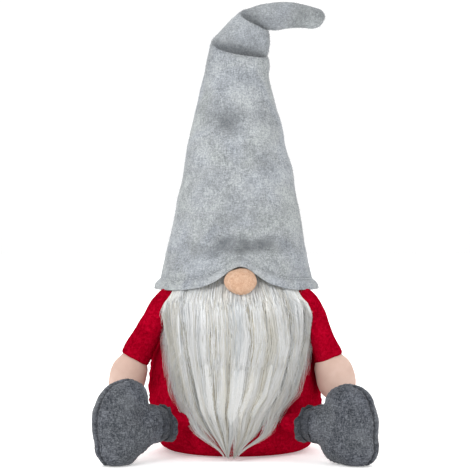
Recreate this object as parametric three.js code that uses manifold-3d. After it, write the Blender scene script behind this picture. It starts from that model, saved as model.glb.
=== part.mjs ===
// A seated felt tomte gnome with a tall bent hat, a long fur beard, hanging arms and splayed boots.
// Millimetres, +Z up. The gnome faces -Y, so its own right hand is at -X. The origin is the centre of
// the underside of the base panel, on the surface that the gnome sits on.
import * as THREE from 'three';
import { mergeVertices } from 'three/addons/utils/BufferGeometryUtils.js';
import Module from 'manifold-3d';

const wasm = await Module();
wasm.setup();

// ---- driving dimensions ----
const FELT = 2.2; // wall of the red and grey felt
const JERSEY = 1.4; // wall of the knitted skin-coloured cloth
const GAP = 0.4; // clearance between pieces that touch
const TRIM = 0.1; // how far a face may move when slivers left by a cut are cleaned away
const ROUND = 28; // sides of the body, the hat and what lies inside them
const LIMB_ROUND = 16; // sides of the arms, legs and boots

const BODY_BASE_R = 52;
const BODY_TOP = 250;
const BODY_OUTLINE = [
  [BODY_BASE_R, 0], [72, 5], [87, 24], [92, 52], [89, 98], [80, 122],
  [68, 145], [57, 172], [50, 205], [32, 238], [0, BODY_TOP],
];
const PELLET_BAG = { radius: 62, top: 30, bottom: 2.8 };

const BRIM_Z = 173;
const BRIM_R = 88;
const HEM_HEIGHT = 12;
const HEM_WALL = 4.2;
const HAT_OUTLINE = [
  [BRIM_R, BRIM_Z], [80.5, 184.5], [74.5, 212], [62.6, 270], [53.7, 317], [39.7, 374], [31.2, 420],
];
const ARCH = { x: 4.6, sharp: 13, sharpWidth: 19, broad: 15, broadWidth: 40, reach: 32 };

const HAT_FILL_Z = 225; // where the filling of the cone starts, around the top of the body
const FOLD_HINGE = new THREE.Vector3(0, 0, 420);
const FOLD_R = 28.2;
const KNUCKLE = { centre: [11.5, 0, 446.5], radii: [22, 20, 22], neck: 24 };
const TIP_HINGE = new THREE.Vector3(25, 0, 464.8);
const TIP_R = 14.8;
const TIP_LENGTH = 69; // from its hinge to the blunt end
const TIP_DROOP = 15; // degrees that the tip can droop from where it stands
const TIP_GAP = 0.7;
const WIRE_R = 1.2;

const NOSE = { centre: [4.6, -85.5, 184.2], radii: [17.3, 14.3, 13.9], wall: 1.8, gather: 5 };

const BEARD_TOP = 203;
const BEARD_TIP = 3;
const BEARD_LINE = 163; // the beard swings from here down
const BEARD_SLIT = 4;
const BACKING = { wall: 1.2, gap: 1.4, bottom: 78, inset: 14 };
const BEARD_HALF_WIDTH = [
  [BEARD_TIP, 6], [18, 19], [38, 37], [64, 57], [96, 73], [122, 75], [142, 66], [172, 55], [BEARD_TOP, 44],
];
const BEARD_THICK = 11;
const BEARD_STANDOFF = 2.2; // from the belly to the backing
const BELLY_Z = 60; // where the body is widest

const SHOULDER = new THREE.Vector3(75, -42, 160.3); // of the arm on the +X side
const ARM = {
  right: { splay: 28, length: 67, handRadius: 18.6 },
  left: { splay: 21, length: 63, handRadius: 19.8 },
};
const ARM_TOP_R = 12;
const CUFF_R = 15.3;
const HAND = { length: 43, plug: 9, tilt: 15 };

const HIP = new THREE.Vector3(58, -86, 41); // of the leg on the +X side
const LEG_SPLAY = 57; // degrees outward from straight ahead
const LEG_R = 12;
const LEG_LENGTH = 44;
const BOOT = { rim: 8, rimR: 20.5, gather: 21, gatherR: 17.2, ankleR: 20.6, ankleEnd: 72 };
const FOOT = { along: 72, height: 44, radii: [30, 21.5, 44] };
const HEEL = { along: 60, height: 26, radii: [25, 20, 25.6] };

// ---- materials ----
const cloth = (colour, roughness = 0.95) =>
  new THREE.MeshStandardMaterial({ color: colour, roughness, metalness: 0 });
const redFelt = cloth(0xb00f2b);
const lightFelt = cloth(0xb6babc);
const darkFelt = cloth(0x66696d);
const skinJersey = cloth(0xe8cbbb, 0.85);
const noseFelt = cloth(0xdfae8b);
const beardFur = cloth(0xe4e3de, 0.8);
const backingCloth = cloth(0xd9d5cb);
const fibreFill = cloth(0xf3f2ee);
const pelletCloth = cloth(0xcfc6b4);
const thread = cloth(0x4c4f53, 0.8);
const wireSteel = new THREE.MeshStandardMaterial({ color: 0x8d9094, roughness: 0.4, metalness: 0.9 });

// ---- from three.js geometry to solids and back ----
function toSolid(geometry) {
  const bare = geometry.clone();
  for (const name of Object.keys(bare.attributes)) if (name !== 'position') bare.deleteAttribute(name);
  const merged = mergeVertices(bare, 1e-4);
  const faces = [];
  for (let i = 0; i < merged.index.count; i += 3) {
    const [a, b, c] = [0, 1, 2].map((k) => merged.index.getX(i + k));
    if (a !== b && b !== c && a !== c) faces.push(a, b, c);
  }
  return new wasm.Manifold(new wasm.Mesh({
    numProp: 3, vertProperties: merged.attributes.position.array, triVerts: new Uint32Array(faces),
  }));
}

const gnome = new THREE.Group();

function addPiece(name, solid, material) {
  const shape = solid.simplify(TRIM).getMesh();
  const geometry = new THREE.BufferGeometry();
  const points = new Float32Array(shape.numVert * 3);
  for (let i = 0; i < shape.numVert; i++) {
    points.set(shape.vertProperties.subarray(i * shape.numProp, i * shape.numProp + 3), i * 3);
  }
  geometry.setAttribute('position', new THREE.BufferAttribute(points, 3));
  geometry.setIndex(new THREE.BufferAttribute(shape.triVerts, 1));
  geometry.computeVertexNormals();
  const mesh = new THREE.Mesh(geometry, material);
  mesh.name = name;
  gnome.add(mesh);
}

// A solid of revolution about +Z, from [radius, height] points from axis to axis or around a loop.
function turned(points, sides, matrix = null) {
  const loop = points[0][0] > 0 ? [...points, points[0]] : points;
  let area = 0;
  loop.forEach(([r, z], i) => {
    const [r2, z2] = loop[(i + 1) % loop.length];
    area += r * z2 - r2 * z;
  });
  const ordered = area > 0 ? loop : [...loop].reverse();
  const geometry = new THREE.LatheGeometry(ordered.map(([r, z]) => new THREE.Vector2(r, z)), sides);
  geometry.rotateX(Math.PI / 2);
  if (matrix) geometry.applyMatrix4(matrix);
  const solid = toSolid(geometry);
  if (solid.volume() < 0) throw new Error('a turned solid is inside out');
  return solid;
}

function ellipsoid(centre, radii, sides = LIMB_ROUND) {
  const geometry = new THREE.SphereGeometry(1, sides, Math.round(sides / 2));
  geometry.scale(...radii);
  geometry.translate(...centre);
  return toSolid(geometry);
}

const sphere = (centre, radius, sides) => ellipsoid(centre.toArray(), [radius, radius, radius], sides);

function block(low, high) {
  const size = high.map((h, i) => h - low[i]);
  const geometry = new THREE.BoxGeometry(...size);
  geometry.translate(...low.map((l, i) => l + size[i] / 2));
  return toSolid(geometry);
}

const FAR = 400;
const frontHalf = block([-FAR, -FAR, -FAR], [FAR, -GAP / 2, FAR + 200]);
const backHalf = block([-FAR, GAP / 2, -FAR], [FAR, FAR, FAR + 200]);

// The piece of a solid with the most stuff in it, when a cut leaves crumbs.
const largest = (solid) => solid.decompose().sort((a, b) => b.volume() - a.volume())[0];

// The lower half of a ball about the origin, as the start of an outline.
function ballEnd(radius) {
  return [180, 150, 120, 90].map((angle) => {
    const turn = (angle * Math.PI) / 180;
    return [angle === 180 ? 0 : radius * Math.sin(turn), radius * Math.cos(turn)];
  });
}

// A smooth outline through a few points, as [radius, height] pairs.
function smooth(points, steps) {
  const curve = new THREE.SplineCurve(points.map(([r, z]) => new THREE.Vector2(r, z)));
  return curve.getPoints(steps).map((p) => [Math.max(p.x, 0), p.y]);
}

// The same outline moved inwards by a distance, for an outline that runs up the outside of a turned piece.
function inside(outline, distance) {
  return outline.map(([r, z], i) => {
    const [r1, z1] = outline[Math.max(i - 1, 0)];
    const [r2, z2] = outline[Math.min(i + 1, outline.length - 1)];
    const length = Math.hypot(r2 - r1, z2 - z1);
    if (r === 0) return [0, z - distance];
    return [Math.max(r - ((z2 - z1) / length) * distance, 0), z + ((r2 - r1) / length) * distance];
  });
}

function shell(outline, wall) {
  const inner = inside(outline, wall);
  return [...outline, ...inner.reverse().filter(([r], i, all) => r > 0 || i === 0 || all[i - 1][0] > 0)];
}

// Where a table of [key, value] pairs, joined smoothly, stands at a key.
function readTable(table, key) {
  const i = Math.min(Math.max(table.findIndex(([k]) => k > key), 1), table.length - 1);
  const [[k0, v0], [k1, v1]] = [table[i - 1], table[i]];
  const t = Math.min(Math.max((key - k0) / (k1 - k0), 0), 1);
  return v0 + (v1 - v0) * t;
}

// A frame at a point whose +Z runs along a direction.
function along(origin, direction) {
  const heading = direction.clone().normalize();
  const turn = new THREE.Quaternion().setFromUnitVectors(new THREE.Vector3(0, 0, 1), heading);
  return new THREE.Matrix4().compose(origin, turn, new THREE.Vector3(1, 1, 1));
}

function turnedAbout(solid, pivot, degrees) {
  const centred = solid.translate(-pivot.x, -pivot.y, -pivot.z);
  return centred.rotate(0, degrees, 0).translate(pivot.x, pivot.y, pivot.z);
}

// ---- the body: two red felt panels, a base panel, the fibre filling and a bag of pellets ----
const bodyOutline = smooth(BODY_OUTLINE, 11);
const bodyRadiusTable = bodyOutline.map(([r, z]) => [z, r]);
const bodyRadius = (z) => readTable(bodyRadiusTable, z);

function buildBody() {
  const skin = turned(shell(bodyOutline, FELT), ROUND);
  addPiece('body_front_panel', skin.intersect(frontHalf), redFelt);
  addPiece('body_back_panel', skin.intersect(backHalf), redFelt);

  const opening = inside(bodyOutline, FELT)[0][0];
  const base = [[0, 0], [opening - GAP - 1, 0], [opening - GAP, 1], [opening - GAP, FELT], [0, FELT]];
  addPiece('base_panel', turned(base, ROUND), redFelt);

  const { radius, top, bottom } = PELLET_BAG;
  const bag = (grow) => turned([
    [0, bottom - grow], [radius * 0.7, bottom - grow], [radius * 0.94 + grow, bottom + 4],
    [radius + grow, bottom + 11], [radius * 0.9 + grow, top - 5],
    [radius * 0.6, top + grow], [0, top + grow],
  ], ROUND);
  addPiece('pellet_bag', bag(0), pelletCloth);

  const cavity = turned([[0, 0], ...inside(bodyOutline, FELT + GAP)], ROUND);
  const aboveBase = block([-FAR, -FAR, FELT + GAP], [FAR, FAR, FAR]);
  addPiece('body_filling', cavity.intersect(aboveBase).subtract(bag(GAP)), fibreFill);
}

// ---- the hat: a felt cone, its filling and wire, the folded crown and the bent tip ----
const hatOutline = smooth(HAT_OUTLINE, 7);

// How far the brim is lifted over the nose, at a point of the hat.
function archLift(x, y, z) {
  if (y > 0) return 0;
  const hump = (height, offset, width) => height * Math.exp(-((offset / width) ** 2));
  const lift = hump(ARCH.sharp, x - ARCH.x, ARCH.sharpWidth) + hump(ARCH.broad, x - ARCH.x, ARCH.broadWidth);
  return hump(lift, z - BRIM_Z, ARCH.reach) * Math.min(1, -y / 30);
}

function hatConeSolid() {
  const inner = inside(hatOutline, FELT).reverse();
  const hem = [[BRIM_R - HEM_WALL - 4.5, BRIM_Z + HEM_HEIGHT], [BRIM_R - HEM_WALL, BRIM_Z]];
  const profile = [...hatOutline, ...inner.filter(([, z]) => z > BRIM_Z + HEM_HEIGHT + 2), ...hem];
  const loop = [...profile, profile[0]].map(([r, z]) => new THREE.Vector2(r, z));
  const geometry = new THREE.LatheGeometry(loop, 40);
  geometry.rotateX(Math.PI / 2);
  const place = geometry.attributes.position;
  for (let i = 0; i < place.count; i++) {
    const [x, y, z] = [place.getX(i), place.getY(i), place.getZ(i)];
    place.setZ(i, z + archLift(x, y, z));
  }
  return toSolid(geometry);
}

// The folded crown: a ball in the mouth of the cone, with a knuckle that leans to the gnome's left.
function foldLump(shrink) {
  const ball = sphere(FOLD_HINGE, FOLD_R - shrink, 24);
  const knuckle = ellipsoid(KNUCKLE.centre, KNUCKLE.radii.map((r) => r - shrink), 20);
  return ball.add(wasm.Manifold.hull([sphere(FOLD_HINGE, KNUCKLE.neck - shrink, 20), knuckle]));
}

function tipOutline(shrink) {
  const end = TIP_LENGTH - shrink;
  return [
    ...ballEnd(TIP_R - shrink), [TIP_R * 0.98 - shrink, 30], [TIP_R * 0.86 - shrink, TIP_LENGTH - 14],
    [TIP_R * 0.72 - shrink, TIP_LENGTH - 5], [TIP_R * 0.4 - shrink * 0.5, end - 1], [0, end],
  ];
}

// A straight piece of wire, from 8-sided rod; it can start further back on the same line.
function wire(from, to, radius, back = 0) {
  const run = new THREE.Vector3().subVectors(to, from);
  const rod = [[0, -back], [radius, -back], [radius, run.length()], [0, run.length()]];
  return turned(rod, 8, along(from, run));
}

function buildHat() {
  const up = new THREE.Vector3(0, 0, 1);
  const tipFrame = along(TIP_HINGE, new THREE.Vector3(1, 0, 0.01));
  const tip = (shrink) => turned(tipOutline(shrink), 18, tipFrame);
  const offset = (point, x, z) => new THREE.Vector3(x, 0, z).add(point);

  addPiece('hat_cone', hatConeSolid(), lightFelt);

  const mouth = sphere(FOLD_HINGE, FOLD_R + GAP, 24);
  const headSide = bodyOutline.filter(([, z]) => z > 200 && z < BODY_TOP - 1).map(([r, z]) => [r + 1.5, z]);
  const aroundHead = turned([[0, 200], ...headSide, [0, BODY_TOP + 1.5]], ROUND);
  const liningSide = inside(hatOutline, FELT + GAP).filter(([, z]) => z > HAT_FILL_Z);
  const hollow = turned([[0, HAT_FILL_Z], ...liningSide, [0, FOLD_HINGE.z]], ROUND);
  const wireTop = offset(FOLD_HINGE, 0, -FOLD_R - 1.5);
  const wireFoot = new THREE.Vector3(0, 0, 262);
  const wireRoom = wire(wireFoot, FOLD_HINGE, WIRE_R + GAP, 20);
  addPiece('hat_filling', hollow.subtract(aroundHead).subtract(mouth).subtract(wireRoom), fibreFill);
  addPiece('hat_wire_base', wire(wireFoot, wireTop, WIRE_R), wireSteel);

  // The room that the tip needs in the folded crown: its ball end, and its shaft from straight to drooping.
  const tipRoom = (grow) => wasm.Manifold.hull([tip(-grow), turnedAbout(tip(-grow), TIP_HINGE, TIP_DROOP)]);
  const neck = turned([[0, -40], [15, -40], [15, 0], [0, 0]], 18, along(FOLD_HINGE, up));
  const middleWire = (grow, back) =>
    wire(offset(FOLD_HINGE, 1, -18), offset(TIP_HINGE, -10, -20 + grow), WIRE_R + grow, back);
  const cover = foldLump(0).subtract(tipRoom(TIP_GAP));
  const cavity = foldLump(FELT).subtract(tipRoom(TIP_GAP + FELT));
  addPiece('hat_fold_cover', largest(cover.subtract(cavity).subtract(neck)), lightFelt);
  const core = foldLump(FELT + GAP).subtract(tipRoom(TIP_GAP + FELT + GAP));
  addPiece('hat_fold_filling', largest(core.subtract(middleWire(GAP, FOLD_R))), fibreFill);
  addPiece('hat_wire_middle', middleWire(0, 0), wireSteel);

  const tipMouth = turned([[0, -20], [8, -20], [8, 0], [0, 0]], 16, tipFrame);
  const tipWire = (grow, back) =>
    wire(offset(TIP_HINGE, -5, 0), offset(TIP_HINGE, TIP_LENGTH - 9 + grow, 0.6), WIRE_R + grow, back);
  addPiece('hat_tip_cover', tip(0).subtract(tip(FELT)).subtract(tipMouth), lightFelt);
  addPiece('hat_tip_filling', tip(FELT + GAP).subtract(tipWire(GAP, TIP_R)), fibreFill);
  addPiece('hat_wire_tip', tipWire(0, 0), wireSteel);
}

// ---- the face: a felt nose ball, and a fur beard on its backing cloth ----
function buildNose() {
  const { centre, radii, wall, gather } = NOSE;
  const ball = (shrink, sides) => ellipsoid(centre, radii.map((r) => r - shrink), sides);
  const backwards = along(new THREE.Vector3(...centre), new THREE.Vector3(0, 1, 0));
  const hole = turned([[0, 0], [gather, 0], [gather, 20], [0, 20]], 16, backwards);
  addPiece('nose_cover', ball(0, 20).subtract(ball(wall, 16)).subtract(hole), noseFelt);
  addPiece('nose_filling', ball(wall + GAP, 16), fibreFill);
}

// A closed slab between two equal grids of points, given row by row.
function slab(front, back) {
  const rows = front.length;
  const columns = front[0].length;
  const points = [...front.flat(), ...back.flat()];
  const faces = [];
  const at = (layer, i, j) => layer * rows * columns + i * columns + j;
  const quad = (a, b, c, d) => faces.push(a, b, c, a, c, d);
  for (let i = 0; i < rows - 1; i++) {
    for (let j = 0; j < columns - 1; j++) {
      quad(at(0, i, j), at(0, i, j + 1), at(0, i + 1, j + 1), at(0, i + 1, j));
      quad(at(1, i, j), at(1, i + 1, j), at(1, i + 1, j + 1), at(1, i, j + 1));
    }
    const last = columns - 1;
    quad(at(0, i, 0), at(0, i + 1, 0), at(1, i + 1, 0), at(1, i, 0));
    quad(at(0, i, last), at(1, i, last), at(1, i + 1, last), at(0, i + 1, last));
  }
  for (let j = 0; j < columns - 1; j++) {
    quad(at(0, 0, j), at(1, 0, j), at(1, 0, j + 1), at(0, 0, j + 1));
    quad(at(0, rows - 1, j), at(0, rows - 1, j + 1), at(1, rows - 1, j + 1), at(1, rows - 1, j));
  }
  const geometry = new THREE.BufferGeometry();
  geometry.setAttribute('position', new THREE.BufferAttribute(new Float32Array(points.flat()), 3));
  geometry.setIndex(faces);
  return toSolid(geometry);
}

// The radius of the belly that the beard lies on: below its widest point the beard hangs straight down.
const bellyRadius = (z) => (z < BELLY_Z ? bodyRadius(BELLY_Z) : bodyRadius(z));
const WIDEST_TURN = (56 * Math.PI) / 180;

function beardPoint(z, across, layer, inset = 0) {
  const halfWidth = Math.max(readTable(BEARD_HALF_WIDTH, z) - inset, 2);
  const lie = bellyRadius(z) + BEARD_STANDOFF;
  const edge = Math.min(WIDEST_TURN, Math.asin(Math.min(halfWidth / (lie + 8), 0.99)));
  const taper = Math.min(1, (z - BEARD_TIP + 14) / 60, (BEARD_TOP + 14 - z) / 40);
  const root = lie + BACKING.wall + BACKING.gap;
  const middle = root + BEARD_THICK * taper;
  const rim = Math.max(halfWidth / Math.sin(edge), root + 3);
  const surface = middle + (rim - middle) * across ** 2;
  const radius = { cloth: lie, clothFront: lie + BACKING.wall, root, surface }[layer];
  const sway = (z < 60 ? -0.1 * (60 - z) : 2) / radius;
  return [radius * Math.sin(edge * across + sway), -radius * Math.cos(edge * across + sway), z];
}

function beardGrid(bottom, top, rows, columns, layer, inset) {
  return Array.from({ length: rows }, (_, i) => Array.from({ length: columns }, (_, j) =>
    beardPoint(bottom + ((top - bottom) * i) / (rows - 1), (2 * j) / (columns - 1) - 1, layer, inset)));
}

// The beard is one piece of fur cloth. Its top is sewn to the body under the brim, and the rest swings
// from a line just below the nose.
function buildBeard() {
  const sheet = (name, bottom, top, rows, columns, layers, inset, material) => addPiece(name, slab(
    beardGrid(bottom, top, rows, columns, layers[0], inset),
    beardGrid(bottom, top, rows, columns, layers[1], inset)), material);
  const cloth = ['clothFront', 'cloth'];
  const fur = ['surface', 'root'];
  const [sewn, loose] = [BEARD_LINE + BEARD_SLIT / 2, BEARD_LINE - BEARD_SLIT / 2];
  sheet('beard_top_backing', sewn, BEARD_TOP, 4, 13, cloth, BACKING.inset, backingCloth);
  sheet('beard_top_pile', sewn, BEARD_TOP, 4, 15, fur, 0, beardFur);
  sheet('beard_backing', BACKING.bottom, loose, 8, 13, cloth, BACKING.inset, backingCloth);
  sheet('beard_pile', BEARD_TIP, loose, 14, 15, fur, 0, beardFur);
}

// ---- the arms: a red sleeve, a skin-coloured hand, their filling and the knot that ties them on ----
function armPath(side, { splay, length }) {
  const angle = (splay * Math.PI) / 180;
  const direction = new THREE.Vector3(side * Math.sin(angle), 0, -Math.cos(angle));
  const shoulder = new THREE.Vector3(side * SHOULDER.x, SHOULDER.y, SHOULDER.z);
  return { shoulder, direction, cuff: shoulder.clone().addScaledVector(direction, length) };
}

function sleeveOutline(length, shrink, over = 0) {
  return [
    ...ballEnd(ARM_TOP_R - shrink), [12.8 - shrink, 20], [14.2 - shrink, length * 0.6],
    [CUFF_R - shrink, length], [CUFF_R - shrink, length + over + 0.01],
  ];
}

function handOutline(radius, shrink) {
  const { length, plug } = HAND;
  return [
    [10 - shrink, -plug], [12.4 - shrink, -1], [radius * 0.75 - shrink, 1.5], [radius * 0.92 - shrink, 9],
    [radius - shrink, 19], [radius * 0.95 - shrink, 28], [radius * 0.74 - shrink, 37],
    [radius * 0.38, length - 1.2 - shrink], [0, length - shrink],
  ];
}

function buildArm(name, side, size) {
  const { shoulder, direction, cuff } = armPath(side, size);
  const tilt = (HAND.tilt * Math.PI) / 180;
  const sleeveFrame = along(shoulder, direction);
  const handFrame = along(cuff, new THREE.Vector3(side * Math.sin(tilt), 0, -Math.cos(tilt)));
  const filled = (outline, frame) => turned([...outline, [0, outline.at(-1)[1]]], LIMB_ROUND, frame);
  const sleeve = (grow) => filled(sleeveOutline(size.length, -grow, grow), sleeveFrame)
    .subtract(filled(sleeveOutline(size.length, FELT + grow, 6), sleeveFrame));
  const handSolid = (shrink, start) => {
    const plugEnd = [[0, start], [10 - Math.max(shrink, 0), start]];
    return turned([...plugEnd, ...handOutline(size.handRadius, shrink).slice(1)], LIMB_ROUND, handFrame);
  };
  const hand = handSolid(0, -HAND.plug).subtract(sleeve(GAP)).subtract(handSolid(JERSEY, -HAND.plug - 2));

  addPiece(name + '_sleeve', sleeve(0), redFelt);
  addPiece(name + '_hand', largest(hand), skinJersey);
  const upper = filled(sleeveOutline(size.length, FELT + GAP), sleeveFrame);
  const lower = handSolid(JERSEY + GAP, -HAND.plug - 2);
  const handWall = handSolid(-GAP, -HAND.plug - GAP).subtract(handSolid(JERSEY + GAP, -HAND.plug - 2));
  const filling = upper.subtract(handWall).add(lower.subtract(sleeve(GAP)));
  addPiece(name + '_arm_filling', largest(filling), fibreFill);
}

// ---- the legs: a red felt leg in a dark boot of two side panels, gathered by a thread at the ankle ----
function buildLeg(name, side) {
  const angle = (LEG_SPLAY * Math.PI) / 180;
  const hip = new THREE.Vector3(side * HIP.x, HIP.y, HIP.z);
  const out = new THREE.Vector3(side * Math.sin(angle), -Math.cos(angle), 0);
  const up = new THREE.Vector3(0, 0, 1);
  // The leg's own frame: X along the leg, Z up, and its origin at the hip.
  const across = new THREE.Vector3().crossVectors(up, out);
  const frame = new THREE.Matrix4().makeBasis(out, across, up).setPosition(hip);
  const place = (solid) => solid.transform(frame.toArray());
  const lengthwise = new THREE.Matrix4().makeRotationY(Math.PI / 2);
  const spin = (points) => turned(points, LIMB_ROUND, lengthwise);
  const lump = ({ along: a, height, radii }, shrink) =>
    ellipsoid([a, 0, height - HIP.z], radii.map((r) => r - shrink), LIMB_ROUND);
  const shaft = (shrink) => spin([
    [0, BOOT.gather - 6], [BOOT.gatherR - shrink, BOOT.gather - 6 + 3], [BOOT.gatherR - shrink, BOOT.gather],
    [BOOT.ankleR - shrink, BOOT.gather + 7], [BOOT.ankleR - shrink, BOOT.ankleEnd], [0, BOOT.ankleEnd],
  ]);
  const boot = (shrink) => shaft(shrink).add(lump(FOOT, shrink)).add(lump(HEEL, shrink));
  const cuff = spin([
    [BOOT.rimR, BOOT.rim], [BOOT.gatherR + 1.6, BOOT.gather - 5], [BOOT.gatherR, BOOT.gather],
    [LEG_R + GAP, BOOT.gather], [LEG_R + GAP, BOOT.gather - 4], [BOOT.rimR - FELT - 1, BOOT.rim],
  ]);
  const legRoom = spin([[0, -2], [LEG_R + GAP, -2], [LEG_R + GAP, BOOT.gather + 2], [0, BOOT.gather + 2]]);
  const skin = boot(0).subtract(boot(FELT)).subtract(legRoom).add(cuff);
  addPiece(name + '_boot_front_panel', place(largest(skin.intersect(frontHalf))), darkFelt);
  addPiece(name + '_boot_back_panel', place(largest(skin.intersect(backHalf))), darkFelt);

  const leg = (shrink, end) => spin([...ballEnd(LEG_R - shrink), [LEG_R - shrink, end], [0, end]]);
  addPiece(name + '_leg', place(leg(0, LEG_LENGTH).subtract(leg(FELT, LEG_LENGTH + 5))), redFelt);
  addPiece(name + '_leg_filling', place(leg(FELT + GAP, LEG_LENGTH)), fibreFill);
  const aboveGather = block([-FAR, -FAR, -FAR], [BOOT.gather + FELT, FAR, FAR]);
  const stuffing = boot(FELT + GAP).subtract(leg(-GAP, LEG_LENGTH + GAP)).subtract(aboveGather);
  addPiece(name + '_boot_filling', place(largest(stuffing)), fibreFill);

  const tie = new THREE.TorusGeometry(BOOT.gatherR + 2.6, 0.8, 6, 20);
  tie.rotateY(Math.PI / 2);
  tie.translate(BOOT.gather - 1.6, 0, 0);
  addPiece(name + '_boot_tie', place(toSolid(tie)), thread);
}

buildBody();
buildHat();
buildNose();
buildBeard();
buildArm('right', -1, ARM.right);
buildArm('left', 1, ARM.left);
buildLeg('right', -1);
buildLeg('left', 1);

export default gnome;
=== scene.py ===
"""A seated felt gnome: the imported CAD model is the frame, and this script gives it its cloth, fur and light.

Metres, +Z up; the gnome faces -Y, so its own left is at +X.
"""

import math

import bmesh
import bpy
import numpy as np
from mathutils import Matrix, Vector, noise


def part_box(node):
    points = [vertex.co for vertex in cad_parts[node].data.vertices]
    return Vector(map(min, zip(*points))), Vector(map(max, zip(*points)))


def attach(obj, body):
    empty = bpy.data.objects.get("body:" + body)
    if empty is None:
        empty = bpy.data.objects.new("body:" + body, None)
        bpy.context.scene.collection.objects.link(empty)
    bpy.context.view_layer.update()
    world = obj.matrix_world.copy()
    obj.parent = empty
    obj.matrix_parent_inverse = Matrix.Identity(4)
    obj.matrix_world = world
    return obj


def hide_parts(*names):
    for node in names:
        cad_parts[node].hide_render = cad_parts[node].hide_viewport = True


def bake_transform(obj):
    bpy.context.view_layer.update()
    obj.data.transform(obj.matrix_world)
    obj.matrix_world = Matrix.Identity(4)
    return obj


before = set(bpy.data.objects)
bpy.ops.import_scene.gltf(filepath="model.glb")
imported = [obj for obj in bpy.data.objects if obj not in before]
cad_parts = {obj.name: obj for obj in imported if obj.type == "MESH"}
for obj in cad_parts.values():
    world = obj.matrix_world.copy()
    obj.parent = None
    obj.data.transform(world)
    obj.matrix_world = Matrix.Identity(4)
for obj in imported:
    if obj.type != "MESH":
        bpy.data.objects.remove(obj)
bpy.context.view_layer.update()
rng = np.random.default_rng(7)
MM = 0.001

# ---- small helpers


def smoothstep(low, high, value):
    t = np.clip((np.asarray(value, float) - low) / (high - low), 0.0, 1.0)
    return t * t * (3.0 - 2.0 * t)


def bell(value, width):
    """1 at zero, falling smoothly to a third at the width."""
    return np.exp(-((value / width) ** 2))


def turns(count):
    """Angles of a full turn."""
    return np.arange(count) * 2 * math.pi / count


def unit(vectors):
    return vectors / np.maximum(np.linalg.norm(vectors, axis=-1, keepdims=True), 1e-9)


def noise_at(points, size, seed):
    """Smooth noise, about -1 to 1, at points in metres; size is the size of its lumps in metres."""
    shift = Vector((seed * 7.31, seed * 3.77, seed * 5.13))
    return np.array([noise.noise(Vector(p) / size + shift) for p in points])


def relief(points, *layers):
    """An uneven height made of layers of noise, each a (height in mm, lump size in mm, seed)."""
    return sum(height * MM * noise_at(points, size * MM, seed) for height, size, seed in layers)


def spline(rows, keys, steps):
    """Catmull-Rom curve through rows of numbers, read at the given steps along keys."""
    rows = np.asarray(rows, float)
    slope = np.gradient(rows, keys, axis=0)
    out = []
    for s in steps:
        i = int(np.clip(np.searchsorted(keys, s, side="right") - 1, 0, len(keys) - 2))
        h = keys[i + 1] - keys[i]
        t = (s - keys[i]) / h
        a, b = rows[i], rows[i + 1]
        out.append((2 * t**3 - 3 * t**2 + 1) * a + (t**3 - 2 * t**2 + t) * h * slope[i]
                   + (3 * t**2 - 2 * t**3) * b + (t**3 - t**2) * h * slope[i + 1])
    return np.array(out)


def smooth_rows(rows, count):
    """The rows made into a smooth run of count rows."""
    return spline(rows, np.linspace(0, 1, len(rows)), np.linspace(0, 1, count))


def link_object(name, mesh, material):
    mesh.materials.append(material)
    obj = bpy.data.objects.new(name, mesh)
    bpy.context.scene.collection.objects.link(obj)
    return obj


def new_object(name, points, faces, material):
    mesh = bpy.data.meshes.new(name)
    mesh.from_pydata([tuple(p) for p in points], [], faces)
    mesh.update()
    shape = bmesh.new()
    shape.from_mesh(mesh)
    bmesh.ops.recalc_face_normals(shape, faces=shape.faces)
    shape.to_mesh(mesh)
    shape.free()
    mesh.polygons.foreach_set("use_smooth", [True] * len(mesh.polygons))
    return link_object(name, mesh, material)


def ring_faces(rings, around, start_cap=False, end_cap=False):
    """Quads between rings of points, each ring closed on itself; a cap is a fan to one extra point."""
    faces = []
    for i in range(rings - 1):
        for j in range(around):
            k = (j + 1) % around
            faces.append((i * around + j, i * around + k, (i + 1) * around + k, (i + 1) * around + j))
    extra = rings * around
    if start_cap:
        faces += [(extra, (j + 1) % around, j) for j in range(around)]
        extra += 1
    if end_cap:
        last = (rings - 1) * around
        faces += [(extra, last + j, last + (j + 1) % around) for j in range(around)]
    return faces


def tube_object(name, rings, material, start_cap=False, end_cap=False):
    """A skin through rings of points, an array of rings by points by 3."""
    count, around, _ = rings.shape
    points = list(rings.reshape(-1, 3))
    if start_cap:
        points.append(rings[0].mean(axis=0))
    if end_cap:
        points.append(rings[-1].mean(axis=0))
    return new_object(name, points, ring_faces(count, around, start_cap, end_cap), material)


def read(obj, key):
    found = np.empty(len(obj.data.vertices) * 3)
    obj.data.vertices.foreach_get(key, found)
    return found.reshape(-1, 3)


def coordinates(obj):
    return read(obj, "co")


def normals(obj):
    return read(obj, "normal")


def move_points(obj, points):
    obj.data.vertices.foreach_set("co", np.asarray(points).reshape(-1))
    obj.data.update()


def undulate(obj, *layers):
    """Soft uneven lumps along the normals."""
    points = coordinates(obj)
    move_points(obj, points + normals(obj) * relief(points, *layers)[:, None])


def set_attribute(mesh, name, values):
    mesh.attributes.new(name, "FLOAT", "POINT").data.foreach_set("value", np.asarray(values, float))


def shade_points(obj, amounts):
    """How much darker the felt is painted at each point: painted shade in hollows, creases and shaded parts,
    with the hat's random mottle.
    """
    set_attribute(obj.data, "painted_shade_and_mottle", np.clip(amounts, 0, 0.8))


def apply_modifiers(obj):
    depsgraph = bpy.context.evaluated_depsgraph_get()
    mesh = bpy.data.meshes.new_from_object(obj.evaluated_get(depsgraph))
    old = obj.data
    obj.modifiers.clear()
    obj.data = mesh
    bpy.data.meshes.remove(old)


CLOTH = dict(
    quality=6, mass=0.25, tension_stiffness=12.0, compression_stiffness=8.0, shear_stiffness=6.0,
    bending_stiffness=0.4, use_pressure=True, shrink_min=-0.02, vertex_group_mass="seams",
)


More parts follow.
